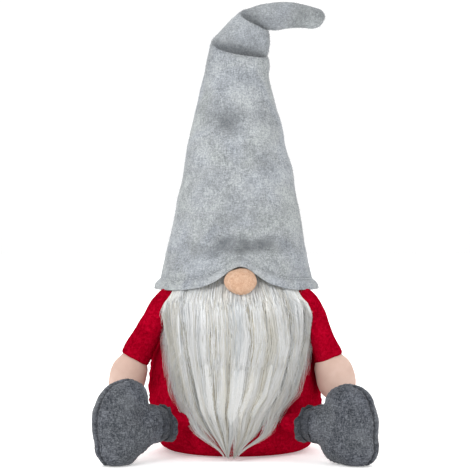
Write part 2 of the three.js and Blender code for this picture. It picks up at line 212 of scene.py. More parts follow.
def inflate(obj, pinned, pressure, cap, frames=16):
    """Cloth simulation of the filling pushing the cover out between its seams, which are pinned."""
    before = coordinates(obj)
    group = obj.vertex_groups.new(name="seams")
    group.add([int(i) for i in np.flatnonzero(pinned(before))], 1.0, "REPLACE")
    cloth = obj.modifiers.new("cloth", "CLOTH")
    for key, value in CLOTH.items():
        setattr(cloth.settings, key, value)
    cloth.settings.uniform_pressure_force = pressure
    cloth.settings.effector_weights.gravity = 0.0
    cloth.collision_settings.use_collision = False
    scene = bpy.context.scene
    for frame_number in range(1, frames + 1):
        scene.frame_set(frame_number)
    solved = obj.evaluated_get(bpy.context.evaluated_depsgraph_get())
    after = np.empty(len(before) * 3)
    solved.to_mesh().vertices.foreach_get("co", after)
    solved.to_mesh_clear()
    obj.modifiers.clear()
    obj.vertex_groups.clear()
    scene.frame_set(1)
    move = after.reshape(-1, 3) - before
    length = np.linalg.norm(move, axis=1, keepdims=True)
    move_points(obj, before + move * cap * np.tanh(length / cap) / np.maximum(length, 1e-9))


def strand_mesh(name, lines, material, width, outward):
    """Tapered three-sided hairs along their centre lines, their broad side to the front.

    The attribute strand is each hair's own brightness, less near its root and its tip and low on the beard.
    """
    count, steps, _ = lines.shape
    tangent = unit(np.gradient(lines, axis=1))
    side = unit(np.cross(tangent, outward))
    front = np.cross(side, tangent)
    t = np.linspace(0, 1, steps)[None, :]
    taper = (0.55 + 0.45 * np.sin(math.pi * np.minimum(t * 1.5, 1.0) * 0.5 + 0.2)) * (1 - t**2.2)
    radius = (width[:, None] * taper + 0.02 * MM)[..., None]
    corners = [lines + radius * (math.cos(a) * side * 1.5 + math.sin(a) * front * 0.35)
               for a in turns(3) + math.pi / 2]
    points = np.stack(corners, axis=2)
    first = (np.arange(count) * steps * 3)[:, None, None]
    low = first + np.arange(steps - 1)[None, :, None] * 3
    here, after = np.arange(3), (np.arange(3) + 1) % 3
    quads = np.stack([low + here, low + after, low + 3 + after, low + 3 + here], axis=-1).reshape(-1, 4)
    ends = np.concatenate([first[:, 0] + [2, 1, 0], first[:, 0] + (steps - 1) * 3 + [0, 1, 2]])
    mesh = bpy.data.meshes.new(name)
    mesh.vertices.add(points.size // 3)
    mesh.vertices.foreach_set("co", points.reshape(-1))
    mesh.loops.add(quads.size + ends.size)
    mesh.loops.foreach_set("vertex_index", np.concatenate([quads.reshape(-1), ends.reshape(-1)]))
    starts = np.concatenate([np.arange(len(quads)) * 4, quads.size + np.arange(len(ends)) * 3])
    mesh.polygons.add(len(starts))
    mesh.polygons.foreach_set("loop_start", starts)
    mesh.polygons.foreach_set("use_smooth", [False] * len(starts))
    mesh.update(calc_edges=True)
    mesh.validate()
    root = (1 - smoothstep(0.0, 0.22, t)) * smoothstep(0.19, 0.16, lines[:, :1, 2])
    below = 1 - 0.36 * smoothstep(0.175, 0.130, lines[:, :, 2])
    bright = rng.normal(0.90, 0.20, count)[:, None] * (1 - 0.5 * root) * (1 - 0.75 * t) * below
    set_attribute(mesh, "strand", np.repeat(np.clip(bright, 0, 1).reshape(-1), 3))
    return link_object(name, mesh, material)


FLOOR_GAP = 0.5 * MM


def fuzz(obj, name, count, length, material):
    """Short loose fibres that stand off the felt of a piece."""
    points, facing = coordinates(obj), normals(obj)
    chosen = rng.integers(0, len(points), count)
    facing = facing[chosen]
    around = rng.normal(0, 1.0, (count, 3))
    around -= facing * (around * facing).sum(axis=1, keepdims=True)
    base = points[chosen] + around * 0.7 * MM - facing * 0.5 * MM
    base[:, 2] = np.maximum(base[:, 2], FLOOR_GAP + 0.1 * MM)
    t = np.linspace(0, 1, 4)[None, :, None]
    reach = length * rng.uniform(0.5, 1.0, count)[:, None, None]
    lines = base[:, None, :] + reach * (t * facing[:, None, :] * 0.8 + t**2 * around[:, None, :] * 0.7)
    lines[..., 2] = np.maximum(lines[..., 2], FLOOR_GAP)
    outward = np.repeat(unit(np.cross(facing, around))[:, None, :], 4, axis=1)
    return strand_mesh(name, lines, material, rng.uniform(0.035, 0.06, count) * MM, outward)


# ---- materials


class Nodes:
    """A short way to build a node tree: each call adds a node and links what it is given."""

    def __init__(self, owner, shader):
        owner.use_nodes = True
        self.tree = owner.node_tree
        self.shader = self.tree.nodes[shader]

    def give(self, socket, value):
        """Link a socket to another one, or set its value."""
        if isinstance(value, bpy.types.NodeSocket):
            self.tree.links.new(value, socket)
        else:
            socket.default_value = value

    def add(self, kind, values=None, **settings):
        node = self.tree.nodes.new(kind)
        for key, value in settings.items():
            setattr(node, key, value)
        for socket, value in (values or {}).items():
            self.give(node.inputs[socket], value)
        return node

    def place(self, scale=(1, 1, 1)):
        coords = self.add("ShaderNodeTexCoord").outputs["Object"]
        return self.add("ShaderNodeMapping", {"Vector": coords, "Scale": scale}).outputs["Vector"]

    def noise(self, vector, scale, detail=2.0, roughness=0.5, distortion=0.0):
        names = ("Vector", "Scale", "Detail", "Roughness", "Distortion")
        values = zip(names, (vector, scale, detail, roughness, distortion))
        return self.add("ShaderNodeTexNoise", dict(values)).outputs["Fac"]

    def bands(self, vector, scale, direction, distortion, **more):
        values = {"Vector": vector, "Scale": scale, "Distortion": distortion, **more}
        return self.add("ShaderNodeTexWave", values, bands_direction=direction).outputs["Fac"]

    def ramp(self, factor, *stops):
        """Colours at places from 0 to 1: the stops are place, colour, place, colour and so on."""
        node = self.add("ShaderNodeValToRGB", {"Fac": factor})
        places, colours = stops[0::2], [(*colour, 1) for colour in stops[1::2]]
        found = node.color_ramp.elements
        found[0].position, found[0].color = places[0], colours[0]
        found[1].position, found[1].color = places[-1], colours[-1]
        for position, colour in list(zip(places, colours))[1:-1]:
            found.new(position).color = colour
        return node.outputs["Color"]

    def mix(self, factor, first, second, blend="MIX"):
        node = self.add("ShaderNodeMix", data_type="RGBA", blend_type=blend)
        for socket, value in zip((0, 6, 7), (factor, first, second)):
            self.give(node.inputs[socket], (*value, 1) if isinstance(value, tuple) else value)
        return node.outputs[2]

    def bump(self, height, strength, distance, under=None):
        values = {"Height": height, "Strength": strength, "Distance": distance}
        if under is not None:
            values["Normal"] = under
        return self.add("ShaderNodeBump", values).outputs["Normal"]

    def finish(self, colour, normal, roughness=0.9, sheen=0.0, specular=0.12, **more):
        values = {"Base Color": colour, "Normal": normal, "Roughness": roughness, "Sheen Weight": sheen,
                  "Sheen Roughness": 0.55, "Specular IOR Level": specular, **more}
        for socket, value in values.items():
            self.give(self.shader.inputs[socket], value)


def material(name, slot, build, *options):
    """A new material, whose nodes the build function makes; the slot is not used."""
    made = bpy.data.materials.new(name)
    build(Nodes(made, "Principled BSDF"), *options)
    return made


def srgb(red, green, blue):
    """Linear colour of 0 to 255 display values."""
    shares = (red / 255, green / 255, blue / 255)
    return tuple(c / 12.92 if c <= 0.04 else ((c + 0.055) / 1.055) ** 2.4 for c in shares)


def heather_felt(n, light, middle, dark, contrast):
    """Needled felt of mixed grey fibres: broad clouds, blotches, and a pepper of short crossed fibres."""
    here = n.place()
    clouds = n.ramp(n.noise(here, 34.0, 4.0, 0.6, 0.3), 0.38, dark, 0.5, middle, 0.62, light)
    blotches = n.ramp(n.noise(here, 110.0, 4.0, 0.7, 0.5), 0.38, dark, 0.5, middle, 0.62, light)
    colour = n.mix(0.40, clouds, blotches)
    bright, deep = tuple(min(c * 1.2, 1.0) for c in light), tuple(c * 0.45 for c in dark)
    pepper = n.noise(here, 560.0, 4.0, 0.8, 0.3)
    colour = n.mix(contrast, colour, n.ramp(pepper, 0.40, deep, 0.5, middle, 0.60, bright))
    level = n.noise(n.place((1.0, 1.0, 0.25)), 760.0, 3.0, 0.75, 0.8)
    upright = n.noise(n.place((0.28, 0.28, 1.0)), 820.0, 3.0, 0.75, 0.8)
    crossed = n.mix(0.5, level, upright)
    colour = n.mix(0.35, colour, n.ramp(crossed, 0.43, dark, 0.5, middle, 0.57, bright))
    cold, warm = (0.975, 0.985, 1.015), (1.0, 1.005, 0.98)
    cast = n.ramp(n.noise(here, 22.0, 2.0, 0.5, 0.4), 0.38, cold, 0.5, (1, 1, 1), 0.62, warm)
    colour = n.mix(1.0, colour, cast, "MULTIPLY")
    # The attribute darkens the felt: painted shade, with the hat's random mottle.
    shade = n.add("ShaderNodeAttribute", attribute_name="painted_shade_and_mottle").outputs["Fac"]
    colour = n.mix(shade, colour, tuple(c * 0.6 for c in dark))
    soft = n.bump(n.noise(here, 240.0, 3.0, 0.6, 0.4), 0.45, 0.0013)
    n.finish(colour, n.bump(crossed, 0.6, 0.0008, soft), 0.95, 0.1, 0.05)


def red_felt(n):
    here = n.place()
    clouds = n.noise(here, 26.0, 3.0, 0.6, 0.5)
    nap = n.noise(here, 330.0, 4.0, 0.7, 1.0)
    fibres = n.noise(n.place((1.0, 1.0, 0.3)), 800.0, 2.0, 0.6, 2.0)
    broad = n.ramp(clouds, 0.3, srgb(122, 0, 18), 0.5, srgb(143, 1, 25), 0.7, srgb(160, 3, 32))
    fine = n.ramp(nap, 0.38, srgb(88, 0, 14), 0.5, srgb(148, 1, 27), 0.62, srgb(188, 14, 48))
    normal = n.bump(fibres, 0.4, 0.0005, n.bump(nap, 0.4, 0.0009))
    n.finish(n.mix(0.4, broad, fine), normal, 1.0, specular=0.0)


def jersey(n):
    """Fine knitted cloth: rows of small stitches, seen only from close by."""
    here = n.place()
    clouds = n.noise(here, 30.0, 3.0, 0.55, 0.3)
    colour = n.ramp(clouds, 0.3, srgb(188, 158, 145), 0.55, srgb(199, 171, 158), 0.75, srgb(208, 185, 174))
    detail = {"Detail": 2.0, "Detail Scale": 3.0}
    knit = n.mix(0.5, n.bands(here, 420.0, "Z", 1.2, **detail), n.bands(here, 520.0, "X", 1.5, **detail))
    colour = n.mix(0.1, colour, n.ramp(knit, 0.2, srgb(176, 140, 124), 0.8, srgb(228, 204, 192)))
    soft = n.bump(n.noise(here, 150.0, 3.0, 0.6), 0.2, 0.0008)
    sheen = {"Sheen Tint": (*srgb(255, 230, 215), 1)}
    n.finish(colour, n.bump(knit, 0.25, 0.0003, soft), 0.85, 0.15, **sheen)


def nose_felt(n):
    here = n.place()
    clouds = n.noise(here, 120.0, 4.0, 0.65, 1.2)
    nap = n.noise(here, 520.0, 3.0, 0.7, 1.5)
    colour = n.ramp(clouds, 0.32, srgb(163, 129, 104), 0.5, srgb(180, 147, 123), 0.68, srgb(191, 163, 141))
    colour = n.mix(0.3, colour, n.ramp(nap, 0.38, srgb(166, 120, 92), 0.62, srgb(226, 192, 166)))
    sheen = {"Sheen Tint": (*srgb(255, 225, 200), 1)}
    n.finish(colour, n.bump(nap, 0.45, 0.0006), 0.92, 0.2, **sheen)


def fur(n, light, dark, root):
    """Hair of one tone; each hair carries its own value, 0 dark to 1 light, less at its root."""
    strand = n.add("ShaderNodeAttribute", attribute_name="strand").outputs["Fac"]
    tint = n.ramp(strand, 0.0, root, 0.35, dark, 1.0, light)
    drift = n.noise(n.place((1.0, 1.0, 0.35)), 40.0, 2.0, 0.5, 0.2)
    patches = n.add("ShaderNodeMapRange", {"Value": drift, "From Min": 0.55, "From Max": 0.85})
    fine = n.noise(n.place((1.0, 1.0, 0.04)), 1500.0, 2.0, 0.6)
    n.finish(n.mix(patches.outputs["Result"], tint, dark), n.bump(fine, 0.1, 0.0002), 0.7, 0.1)


def plain_cloth(n, light, dark, scale):
    here = n.place()
    weave = n.mix(0.5, n.bands(here, scale, "X", 0.6), n.bands(here, scale, "Z", 0.6))
    n.finish(n.ramp(weave, 0.2, dark, 0.8, light), n.bump(weave, 0.3, 0.0003), 0.9)


def steel(n):
    drawn = n.noise(n.place((1.0, 1.0, 0.05)), 900.0, 3.0, 0.6)
    colour = n.ramp(drawn, 0.3, srgb(120, 122, 126), 0.7, srgb(176, 178, 182))
    n.finish(colour, n.bump(drawn, 0.1, 0.0001), 0.38, Metallic=1.0)


def grey_felt(shade, light, middle, dark, contrast):
    tones = srgb(*light), srgb(*middle), srgb(*dark)
    return material(f"{shade}_heather_felt", f"{shade}_felt", heather_felt, *tones, contrast)


def thread(name, light, dark):
    return material(name, "thread", plain_cloth, srgb(*light), srgb(*dark), 2200.0)


light_felt = grey_felt("light", (179, 183, 185), (148, 152, 155), (104, 108, 112), 0.40)
dark_felt = grey_felt("dark", (118, 121, 127), (63, 66, 72), (32, 35, 41), 0.46)
red = material("red_felt", "red_felt", red_felt)
skin = material("skin_jersey", "skin_jersey", jersey)
nose_cloth = material("nose_felt", "nose_felt", nose_felt)
light_thread = thread("light_thread", (205, 209, 212), (150, 155, 158))
dark_thread = thread("dark_thread", (74, 77, 82), (38, 40, 44))
red_thread = thread("red_thread", (150, 8, 36), (92, 0, 20))
weave_tones = srgb(214, 210, 200), srgb(176, 171, 160)
backing_weave = material("backing_weave", "backing_cloth", plain_cloth, *weave_tones, 700.0)
wire_steel = material("wire_steel", "wire", steel)
FUR_COLOURS = {  # along the hair, at its brightest and its darkest, and at its root
    "under_fur": ((196, 193, 183), (168, 163, 150), (160, 154, 138)),
    "fur_white": ((245, 247, 248), (190, 191, 191), (185, 184, 179)),
    "fur_ivory": ((236, 235, 231), (178, 176, 168), (170, 165, 153)),
    "fur_cool": ((224, 228, 230), (168, 171, 173), (160, 162, 160)),
    # fur_straw and fur_ash are the darker tones of the hairs in the hollows and deep in the beard: painted
    # shade.
    "fur_straw": ((190, 184, 167), (136, 129, 109), (116, 108, 88)),
    "fur_ash": ((164, 164, 158), (112, 111, 105), (96, 92, 82)),
}
under_fur, *FUR_TONES = [material(name, "beard_fur", fur, *(srgb(*colour) for colour in colours))
                         for name, colours in FUR_COLOURS.items()]

# ---- the hat

ARCH_X = 4.6 * MM
BRIM = 173 * MM


def arch_lift(points):
    """How far the brim is lifted over the nose."""
    away = points[..., 0] - ARCH_X
    lift = 12 * MM * bell(away, 0.019) + 14.5 * MM * bell(away, 0.040)
    front = np.clip(-points[..., 1] / 0.030, 0.0, 1.0)
    return lift * bell(np.maximum(points[..., 2] - BRIM, 0.0), 0.034) * front


# Rows of the hat from the brim up, in mm: its left edge and right edge (x, z) as seen from the front, its
# half depth, how far the felt dips inside a fold there, and how far the front of the row sags.
CONE = [
    (-87.6, 173.2, 88.2, 173.2, 87.5, 0, 0), (-86.2, 176.5, 86.8, 176.5, 86.2, 0, 0),
    (-80.8, 185.5, 81.4, 185.5, 81.2, 0, 0), (-77.4, 198, 78.2, 198, 78.0, 0, 0),
    (-73.5, 215, 75.6, 215, 74.5, 0, 0), (-67.0, 244, 70.4, 244, 68.8, 0, 0),
    (-60.7, 274, 64.4, 274, 62.4, 0, 0), (-54.6, 303, 60.2, 303, 57.4, 0, 0),
    (-53.0, 321, 54.6, 320, 53.8, 0, 0), (-46.2, 352, 47.2, 352, 47.0, 0, 0),
    (-40.3, 378, 39.6, 378, 40.4, 0, 0), (-33.8, 402, 34.9, 400, 35.0, 0, 1.5),
]
# At a crease the felt rolls over a lip, goes down inside it, and comes up again further in.
LOWER_CREASE = [
    (-31.4, 416, 35.6, 409.6, 33.6, 0, 2.6), (-29.0, 426.0, 34.9, 417.4, 33.0, 0, 4.0),
    (-27.4, 431.6, 33.8, 420.6, 31.4, 0.3, 4.8), (-26.6, 434.2, 32.6, 421.8, 28.4, 3.0, 5.0),
    (-26.1, 435.6, 31.9, 422.6, 25.0, 8.8, 5.0), (-25.7, 436.8, 31.9, 423.4, 22.4, 9.6, 4.8),
    (-25.2, 438.0, 32.8, 424.4, 21.6, 5.6, 4.6),
]
KNUCKLE = [
    (-24.4, 439.6, 34.4, 426.4, 22.8, 1.8, 4.0), (-21.6, 443.6, 35.4, 431.6, 25.4, 0, 3.0),
    (-16.4, 449.8, 35.6, 437.2, 25.4, 0, 2.0), (-10.4, 456.4, 35.4, 441.8, 23.4, 0, 1.4),
]
UPPER_CREASE = [
    (-3.8, 462.8, 35.0, 445.4, 20.8, 0, 1.6), (0.6, 466.4, 34.4, 448.0, 19.4, 0.2, 2.0),
    (2.8, 468.0, 33.0, 449.8, 17.4, 2.4, 2.0), (4.4, 469.2, 31.6, 450.8, 14.2, 6.4, 1.8),
    (5.8, 470.2, 31.0, 451.4, 12.0, 7.2, 1.4), (7.6, 471.4, 31.6, 451.6, 11.4, 4.0, 1.0),
]
TIP = [
    (12.0, 472.6, 35.0, 450.4, 12.6, 0.6, 0.4), (24.0, 476.2, 42.5, 449.6, 14.4, 0, 0),
    (41.9, 478.6, 51.4, 451.0, 14.2, 0, 0), (57.0, 478.8, 61.5, 452.2, 13.6, 0, 0),
    (72.0, 476.4, 72.6, 452.0, 12.8, 0, 0), (83.5, 473.4, 82.6, 451.0, 11.8, 0, 0),
    (90.6, 471.2, 89.4, 453.4, 10.2, 0, 0), (93.8, 468.2, 92.8, 457.0, 6.6, 0, 0),
    (95.2, 465.0, 94.8, 461.4, 2.2, 0, 0),
]
HAT_PARTS = (CONE, LOWER_CREASE, KNUCKLE, UPPER_CREASE, TIP)
HAT_AROUND = 144
INSIDE_ROWS = 15  # rings of the inside of the skirt and the turned hem
LOW_ROWS = 60  # rings of the outside, from the brim up, that are looked through for a height near the hem
HEM_LINE = 11.0 * MM  # the stitching of the hem, above the edge of the brim
# Where the front of the hat is pushed in or out: x, z, half width, half height and depth, in mm.
HAT_DENTS = [
    (-14, 352, 20, 15, -5.0), (-12, 328, 26, 9, 3.0), (34, 357, 11, 9, -3.6), (16, 221, 44, 8.5, -7.5),
    (-30, 214, 24, 8, -4.0), (5, 204, 26, 7, 3.4), (8, 243, 40, 10, 2.0), (-58, 212, 16, 10, -3.0),
    (22, 272, 26, 12, 2.2), (-30, 290, 24, 13, -2.6), (30, 306, 20, 10, -2.4), (-20, 262, 22, 10, 2.0),
    (12, 396, 18, 8, 1.8),
]


def hat_rings():
    """Rings of the outside, the ring where the upper half starts, and how much painted shade each point gets
    where the felt dips into a crease.
    """
    folded = np.array([row for part in HAT_PARTS for row in part])
    parts = np.repeat(range(5), [len(part) for part in HAT_PARTS])
    # The back of the hat has no folds: there the half depth runs straight past each crease.
    plain = folded[:, 4].copy()
    for crease in (LOWER_CREASE, UPPER_CREASE):
        index = np.flatnonzero(parts == HAT_PARTS.index(crease))
        first, last = index[0] - 1, index[-1] + 2
        plain[first + 1:last] = np.linspace(plain[first], plain[last], last - first + 1)[1:-1]
    middle = (folded[:, 0:2] + folded[:, 2:4]) / 2
    gaps = np.linalg.norm(np.diff(middle, axis=0), axis=1)
    gaps += np.abs(np.diff(folded[:, 4:6], axis=0)).sum(axis=1)
    keys = np.concatenate([[0], np.cumsum(np.maximum(gaps, 1.2))])
    # The rings lie closer together at the hem and wherever the felt is folded.
    steps = [keys[0]]
    for a, b, part in zip(keys[:-1], keys[1:], parts[:-1]):
        fine = 1.2 if HAT_PARTS[part] not in (CONE, TIP) or a < 28 else 3.0
        pieces = max(2, int(round((b - a) / fine)))
        steps += list(a + (b - a) * np.arange(1, pieces + 1) / pieces)
    turn = turns(HAT_AROUND)
    from_right = np.degrees(np.abs((turn + math.pi) % (2 * math.pi) - math.pi))
    creased = 1.0 - smoothstep(112.0, 160.0, from_right)
    front = np.clip(-np.sin(turn), 0, 1) ** 1.4
    rings = []
    for row in spline(np.column_stack([folded, plain]), keys, steps):
        left, right, (depth, dip, sag, plain_depth) = row[0:2], row[2:4], row[4:8]
        half = np.linalg.norm(right - left) / 2
        across = (right - left) / (2 * half)
        inward = np.array([across[1], -across[0]])
        down = dip * creased + sag * front
        x, z = ((left + right) / 2)[:, None] + np.outer(across, half * np.cos(turn)) + np.outer(inward, down)
        y = (plain_depth * (1 - creased) + depth * creased) * np.sin(turn)
        rings.append(np.stack([x, y, z], axis=1) * MM)
    split = int(np.argmin(np.abs(np.array(steps) - keys[len(CONE) + len(LOWER_CREASE) + 1])))
    # Painted shade: the felt darker where it dips into a crease, most at the front.
    painted_shade = np.interp(steps, keys, np.convolve(folded[:, 5] / 9.6, [0.5, 1.0, 0.8, 0.45], "same"))
    painted_shade = np.clip(painted_shade[:, None] * (0.25 + 0.75 * front) * 0.55, 0, 0.6)
    return np.array(rings), split, painted_shade


def spread(points, amount):
    """Move points away from the Z axis."""
    points[..., :2] += unit(points[..., :2]) * amount


def hat_hem(rings):
    """The inside of the skirt and the turned hem, as rings that lead into the outside."""
    wall = 2.1 * MM
    # Height above the brim in mm, and how many walls inside the outer surface.
    rows = [(62, 1), (50, 1), (38, 1), (26, 1), (18.5, 1), (15, 1), (12.8, 1.15), (11.8, 2), (9, 2.15),
            (5.5, 2.2), (2.8, 2.15), (1, 1.85), (0.2, 1.4), (0, 0.95)]
    heights = rings[:, :, 2].mean(axis=1)
    made = []
    for up, walls in rows:
        z = heights[0] + up * MM
        i = max(int(np.searchsorted(heights[:LOW_ROWS], z)) - 1, 0)
        t = np.clip((z - heights[i]) / (heights[i + 1] - heights[i]), 0, 1)
        ring = rings[i] * (1 - t) + rings[i + 1] * t
        spread(ring, -walls * wall)
        ring[:, 2] = z
        made.append(ring)
    lip = rings[0] - [0, 0, 0.55 * MM]
    spread(lip, -0.5 * MM)
    return np.array([*made, lip])


def shape_felt(obj, painted_shade):
    """Push the hat's dents in, pucker its crease, and paint shade into its dents and creases and light onto
    its hem, among its mottle.
    """
    points = coordinates(obj)
    x, z = points[:, 0], points[:, 2]
    direction = unit(points * [1, 1, 0])
    facing = np.clip(-direction[:, 1], 0, 1)
    # Where the hat is folded over, the felt moves along its normals, not straight away from the axis.
    bent = z > 0.438
    direction[bent] = normals(obj)[bent]
    keep = np.where(z > 0.40, 0.55, 1.0) * (0.35 + 0.65 * smoothstep(0.172, 0.215, z))
    rise = relief(points, (1.9, 60, 3), (0.8, 22, 5), (0.3, 9, 6))
    drift_x, drift_z = relief(points, (9, 24, 9)), relief(points, (5, 20, 10))
    dents = 0.0
    for dent_x, dent_z, wide, tall, depth in np.array(HAT_DENTS) * MM:
        dents += depth * facing * bell(x + drift_x - dent_x, wide) * bell(z + drift_z - dent_z, tall)
    near_crease = bell(z - 0.432, 0.010) * (points[:, 1] < 0.01)
    puckers = 0.7 * MM * np.sin(x / 0.0042 + 3 * noise_at(points, 0.02, 8)) * near_crease
    move_points(obj, points + direction * (rise * keep + puckers + dents)[:, None])
    speckle = noise_at(points, 0.011, 18)
    # Mottle: the felt's own tone, varying at random.
    mottle_and_painted_light = 0.04 + 0.12 * noise_at(points, 0.035, 17) + 0.08 * speckle
    # The tip darker, in mottles: partly a darker felt, partly painted shade.
    mottle_and_painted_light += smoothstep(0.012, 0.050, x) * (z > 0.44) * (0.28 + 0.26 * noise_at(points, 0.014, 19))
    # Painted shade on the knuckle above the lower crease and on the low middle of the front.
    mottle_and_painted_light += (0.10 + 0.06 * speckle) * bell(z - 0.445, 0.014) * (x < 0.03)
    mottle_and_painted_light += (0.13 + 0.08 * speckle) * bell(z - 0.250, 0.022) * bell(x, 0.045)
    # Painted light: the hem band lighter.
    mottle_and_painted_light -= 0.08 * smoothstep(0.190, 0.180, z)
    # Painted shade in the dents.
    shade_points(obj, np.clip(-dents / (11 * MM), 0, 0.55) * (1 + 0.45 * speckle) + painted_shade + mottle_and_painted_light)


def build_hat():
    """The two halves of the hat's cover, and the rings that the hem's stitches follow."""
    rings, split, painted_shade = hat_rings()
    flutter = noise_at([(x, y, 0.0) for x, y, _ in rings[0]], 0.030, 41)
    for ring in rings[:30]:
        ring[:, :2] *= (1 + 0.012 * bell(ring[:, 2].mean() - BRIM, 0.022) * flutter)[:, None]
    inside = hat_hem(rings)
    for ring, ring_shade in zip(rings, painted_shade):
        above = ring[:, 2].mean() - BRIM
        # Painted shade along the groove of the hem's stitching.
        ring_shade += 0.22 * bell(above - HEM_LINE, 0.0022)
        spread(ring, 1.2 * MM * bell(above - 5.5 * MM, 0.0046) - 1.1 * MM * bell(above - HEM_LINE, 0.0024))
    rings = np.concatenate([inside, rings])
    # Painted shade on the inside of the skirt and the turned hem.
    painted_shade = np.concatenate([np.full((INSIDE_ROWS, HAT_AROUND), 0.12), painted_shade])
    split += INSIDE_ROWS
    rings[..., 2] += arch_lift(rings)
    # The halves overlap by some rings, each a little narrower than the one before.
    overlap = 2
    lower, upper = rings[: split + 1 + overlap].copy(), rings[split - overlap:].copy()
    for k in range(1, overlap + 1):
        for ring in (lower[split + k], upper[overlap - k]):
            centre = ring.mean(axis=0)
            ring[:] = centre + (ring - centre) * (1 - 0.012 * k)
    low = tube_object("hat_cover_lower", lower, light_felt)
    high = tube_object("hat_cover_upper", upper, light_felt, end_cap=True)
    shape_felt(low, painted_shade[: split + 1 + overlap].reshape(-1))
    shape_felt(high, np.append(painted_shade[split - overlap:], 0.0))
    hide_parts("hat_cone", "hat_filling")
    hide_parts("hat_fold_cover", "hat_fold_filling", "hat_tip_cover", "hat_tip_filling")
    return low, high, rings


def stitches(name, path, outwards, length, spacing, radius, material, sink=0.35):
    """Short sewn stitches along a path of points, each a small bent thread lying on the cloth."""
    run = np.concatenate([[0], np.cumsum(np.linalg.norm(np.diff(path, axis=0), axis=1))])
    sides, cuts = 6, 5
    along = np.linspace(0, 1, cuts)
    ends = [tuple(reversed(range(sides))), tuple(range((cuts - 1) * sides, cuts * sides))]
    one = ring_faces(cuts, sides) + ends
    points, faces = [], []
    for start in np.arange(spacing / 2, run[-1] - length, spacing):
        here = start + length * along
        out = unit(np.stack([np.interp(here, run, outwards[:, k]) for k in range(3)], axis=1))
        line = np.stack([np.interp(here, run, path[:, k]) for k in range(3)], axis=1)
        line += out * (radius * (np.sin(math.pi * along) * 1.3 - sink))[:, None]
        tangent = unit(line[-1] - line[0])
        faces += [tuple(len(points) + i for i in face) for face in one]
        for t, p, o in zip(along, line, out):
            side, thick = np.cross(tangent, o), radius * (0.35 + 0.65 * math.sin(math.pi * t))
            points += [p + thick * (math.cos(a) * o + math.sin(a) * side) for a in turns(sides)]
    return new_object(name, points, faces, material)


def hem_stitches(rings):
    outside = rings[INSIDE_ROWS:]
    line = []
    for j in [*range(HAT_AROUND), 0]:
        column = outside[:LOW_ROWS, j]
        height = column[:, 2] - column[0, 2]
        keep = np.argsort(height)
        line.append([np.interp(HEM_LINE, height[keep], column[keep, k]) for k in range(3)])
    line = np.array(line)
    out = unit(np.column_stack([line[:, :2], np.full(len(line), 0.02)]))
    return stitches("hat_hem_stitches", line, out, 2.6 * MM, 4.4 * MM, 0.42 * MM, light_thread, 0.6)


hat_low, hat_high, outer_rings = build_hat()
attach(hem_stitches(outer_rings), "body")
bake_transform(fuzz(hat_low, "hat_fuzz_lower", 9000, 2.2 * MM, light_felt))
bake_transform(fuzz(hat_high, "hat_fuzz_upper", 2500, 2.0 * MM, light_felt))
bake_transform(hat_low)
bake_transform(hat_high)
for node in ("hat_wire_base", "hat_wire_middle", "hat_wire_tip"):
    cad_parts[node].data.materials.clear()
    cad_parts[node].data.materials.append(wire_steel)

# ---- the body

BODY_Z = np.array([0, 3.6, 24, 52, 98, 122, 145, 172, 205, 238, 250]) * MM
BODY_R = np.array([62, 77, 87.5, 92, 89, 80, 68, 57, 50, 32, 1]) * MM


def body_radius(z):
    return np.interp(z, BODY_Z, BODY_R)


def fuller_side(points):
    """The pellets have settled a little more into the right side of the body."""
    return 2.4 * MM * smoothstep(0.045, 0.085, -points[:, 0]) * bell(points[:, 2] - 0.080, 0.045)


def build_body():
    profile = smooth_rows(np.stack([BODY_R, BODY_Z], axis=1), 84)
    profile[:, 0] = np.maximum(profile[:, 0], 0.001)
    profile[0] = (BODY_R[0], 0.0)
    base = [(r, 0.0004 * (1 - r / 0.062)) for r in np.linspace(0.006, 0.057, 10)]
    turn = turns(132)
    rings = [np.stack([r * np.cos(turn), r * np.sin(turn), np.full(132, z)], axis=1)
             for r, z in [*base, *profile]]
    body = tube_object("body_cover", np.array(rings), red, True, True)
    inflate(body, lambda p: (np.abs(p[:, 1]) < 0.0035) | (p[:, 2] < 0.004) | (p[:, 2] > 0.225), 5.0, 0.004)
    points = coordinates(body)
    z = points[:, 2]
    angle = np.arctan2(points[:, 1], np.abs(points[:, 0]))
    off_seam = np.abs(angle) * np.linalg.norm(points[:, :2], axis=1)
    rise = relief(points, (1.5, 50, 13), (0.6, 20, 14))
    rise += 1.4 * MM * bell(off_seam, 0.0013) - 1.5 * MM * bell(off_seam, 0.0035)
    rise += 0.8 * MM * np.sin(z / 0.0016 + 4 * noise_at(points, 0.03, 12)) * bell(off_seam, 0.009)
    rise += 1.1 * MM * np.sin(angle * 9 + 2.2 * noise_at(points, 0.06, 15)) * bell(z - 0.020, 0.018)
    rise *= smoothstep(0.004, 0.03, z) * (1 - smoothstep(0.2, 0.24, z))
    points = points + normals(body) * rise[:, None]
    points[:, 0] -= fuller_side(points)
    move_points(body, points)
    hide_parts("body_front_panel", "body_back_panel", "base_panel", "body_filling", "pellet_bag")
    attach(body, "body")
    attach(fuzz(body, "body_fuzz", 4500, 1.8 * MM, red), "body")


def seam_stitches(name, side, sideways):
    """A row of stitches beside a side seam, turned about the body by an angle in degrees."""
    heights = np.arange(0.020, 0.175, 0.004)
    turn = math.radians(sideways)
    reach = body_radius(heights) - 0.4 * MM
    path = np.stack([side * reach * math.cos(turn), reach * math.sin(turn), heights], axis=1)
    out = path * [1, 1, 0]
    path[:, 0] -= fuller_side(path)
    return stitches(name, path, out, 2.2 * MM, 5.0 * MM, 0.35 * MM, red_thread)


build_body()
for side, label in ((-1, "right"), (1, "left")):
    for sideways, name in ((-2.2, "front"), (2.2, "back")):
        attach(seam_stitches(f"body_{label}_seam_{name}", side, sideways), "body")

# ---- the nose


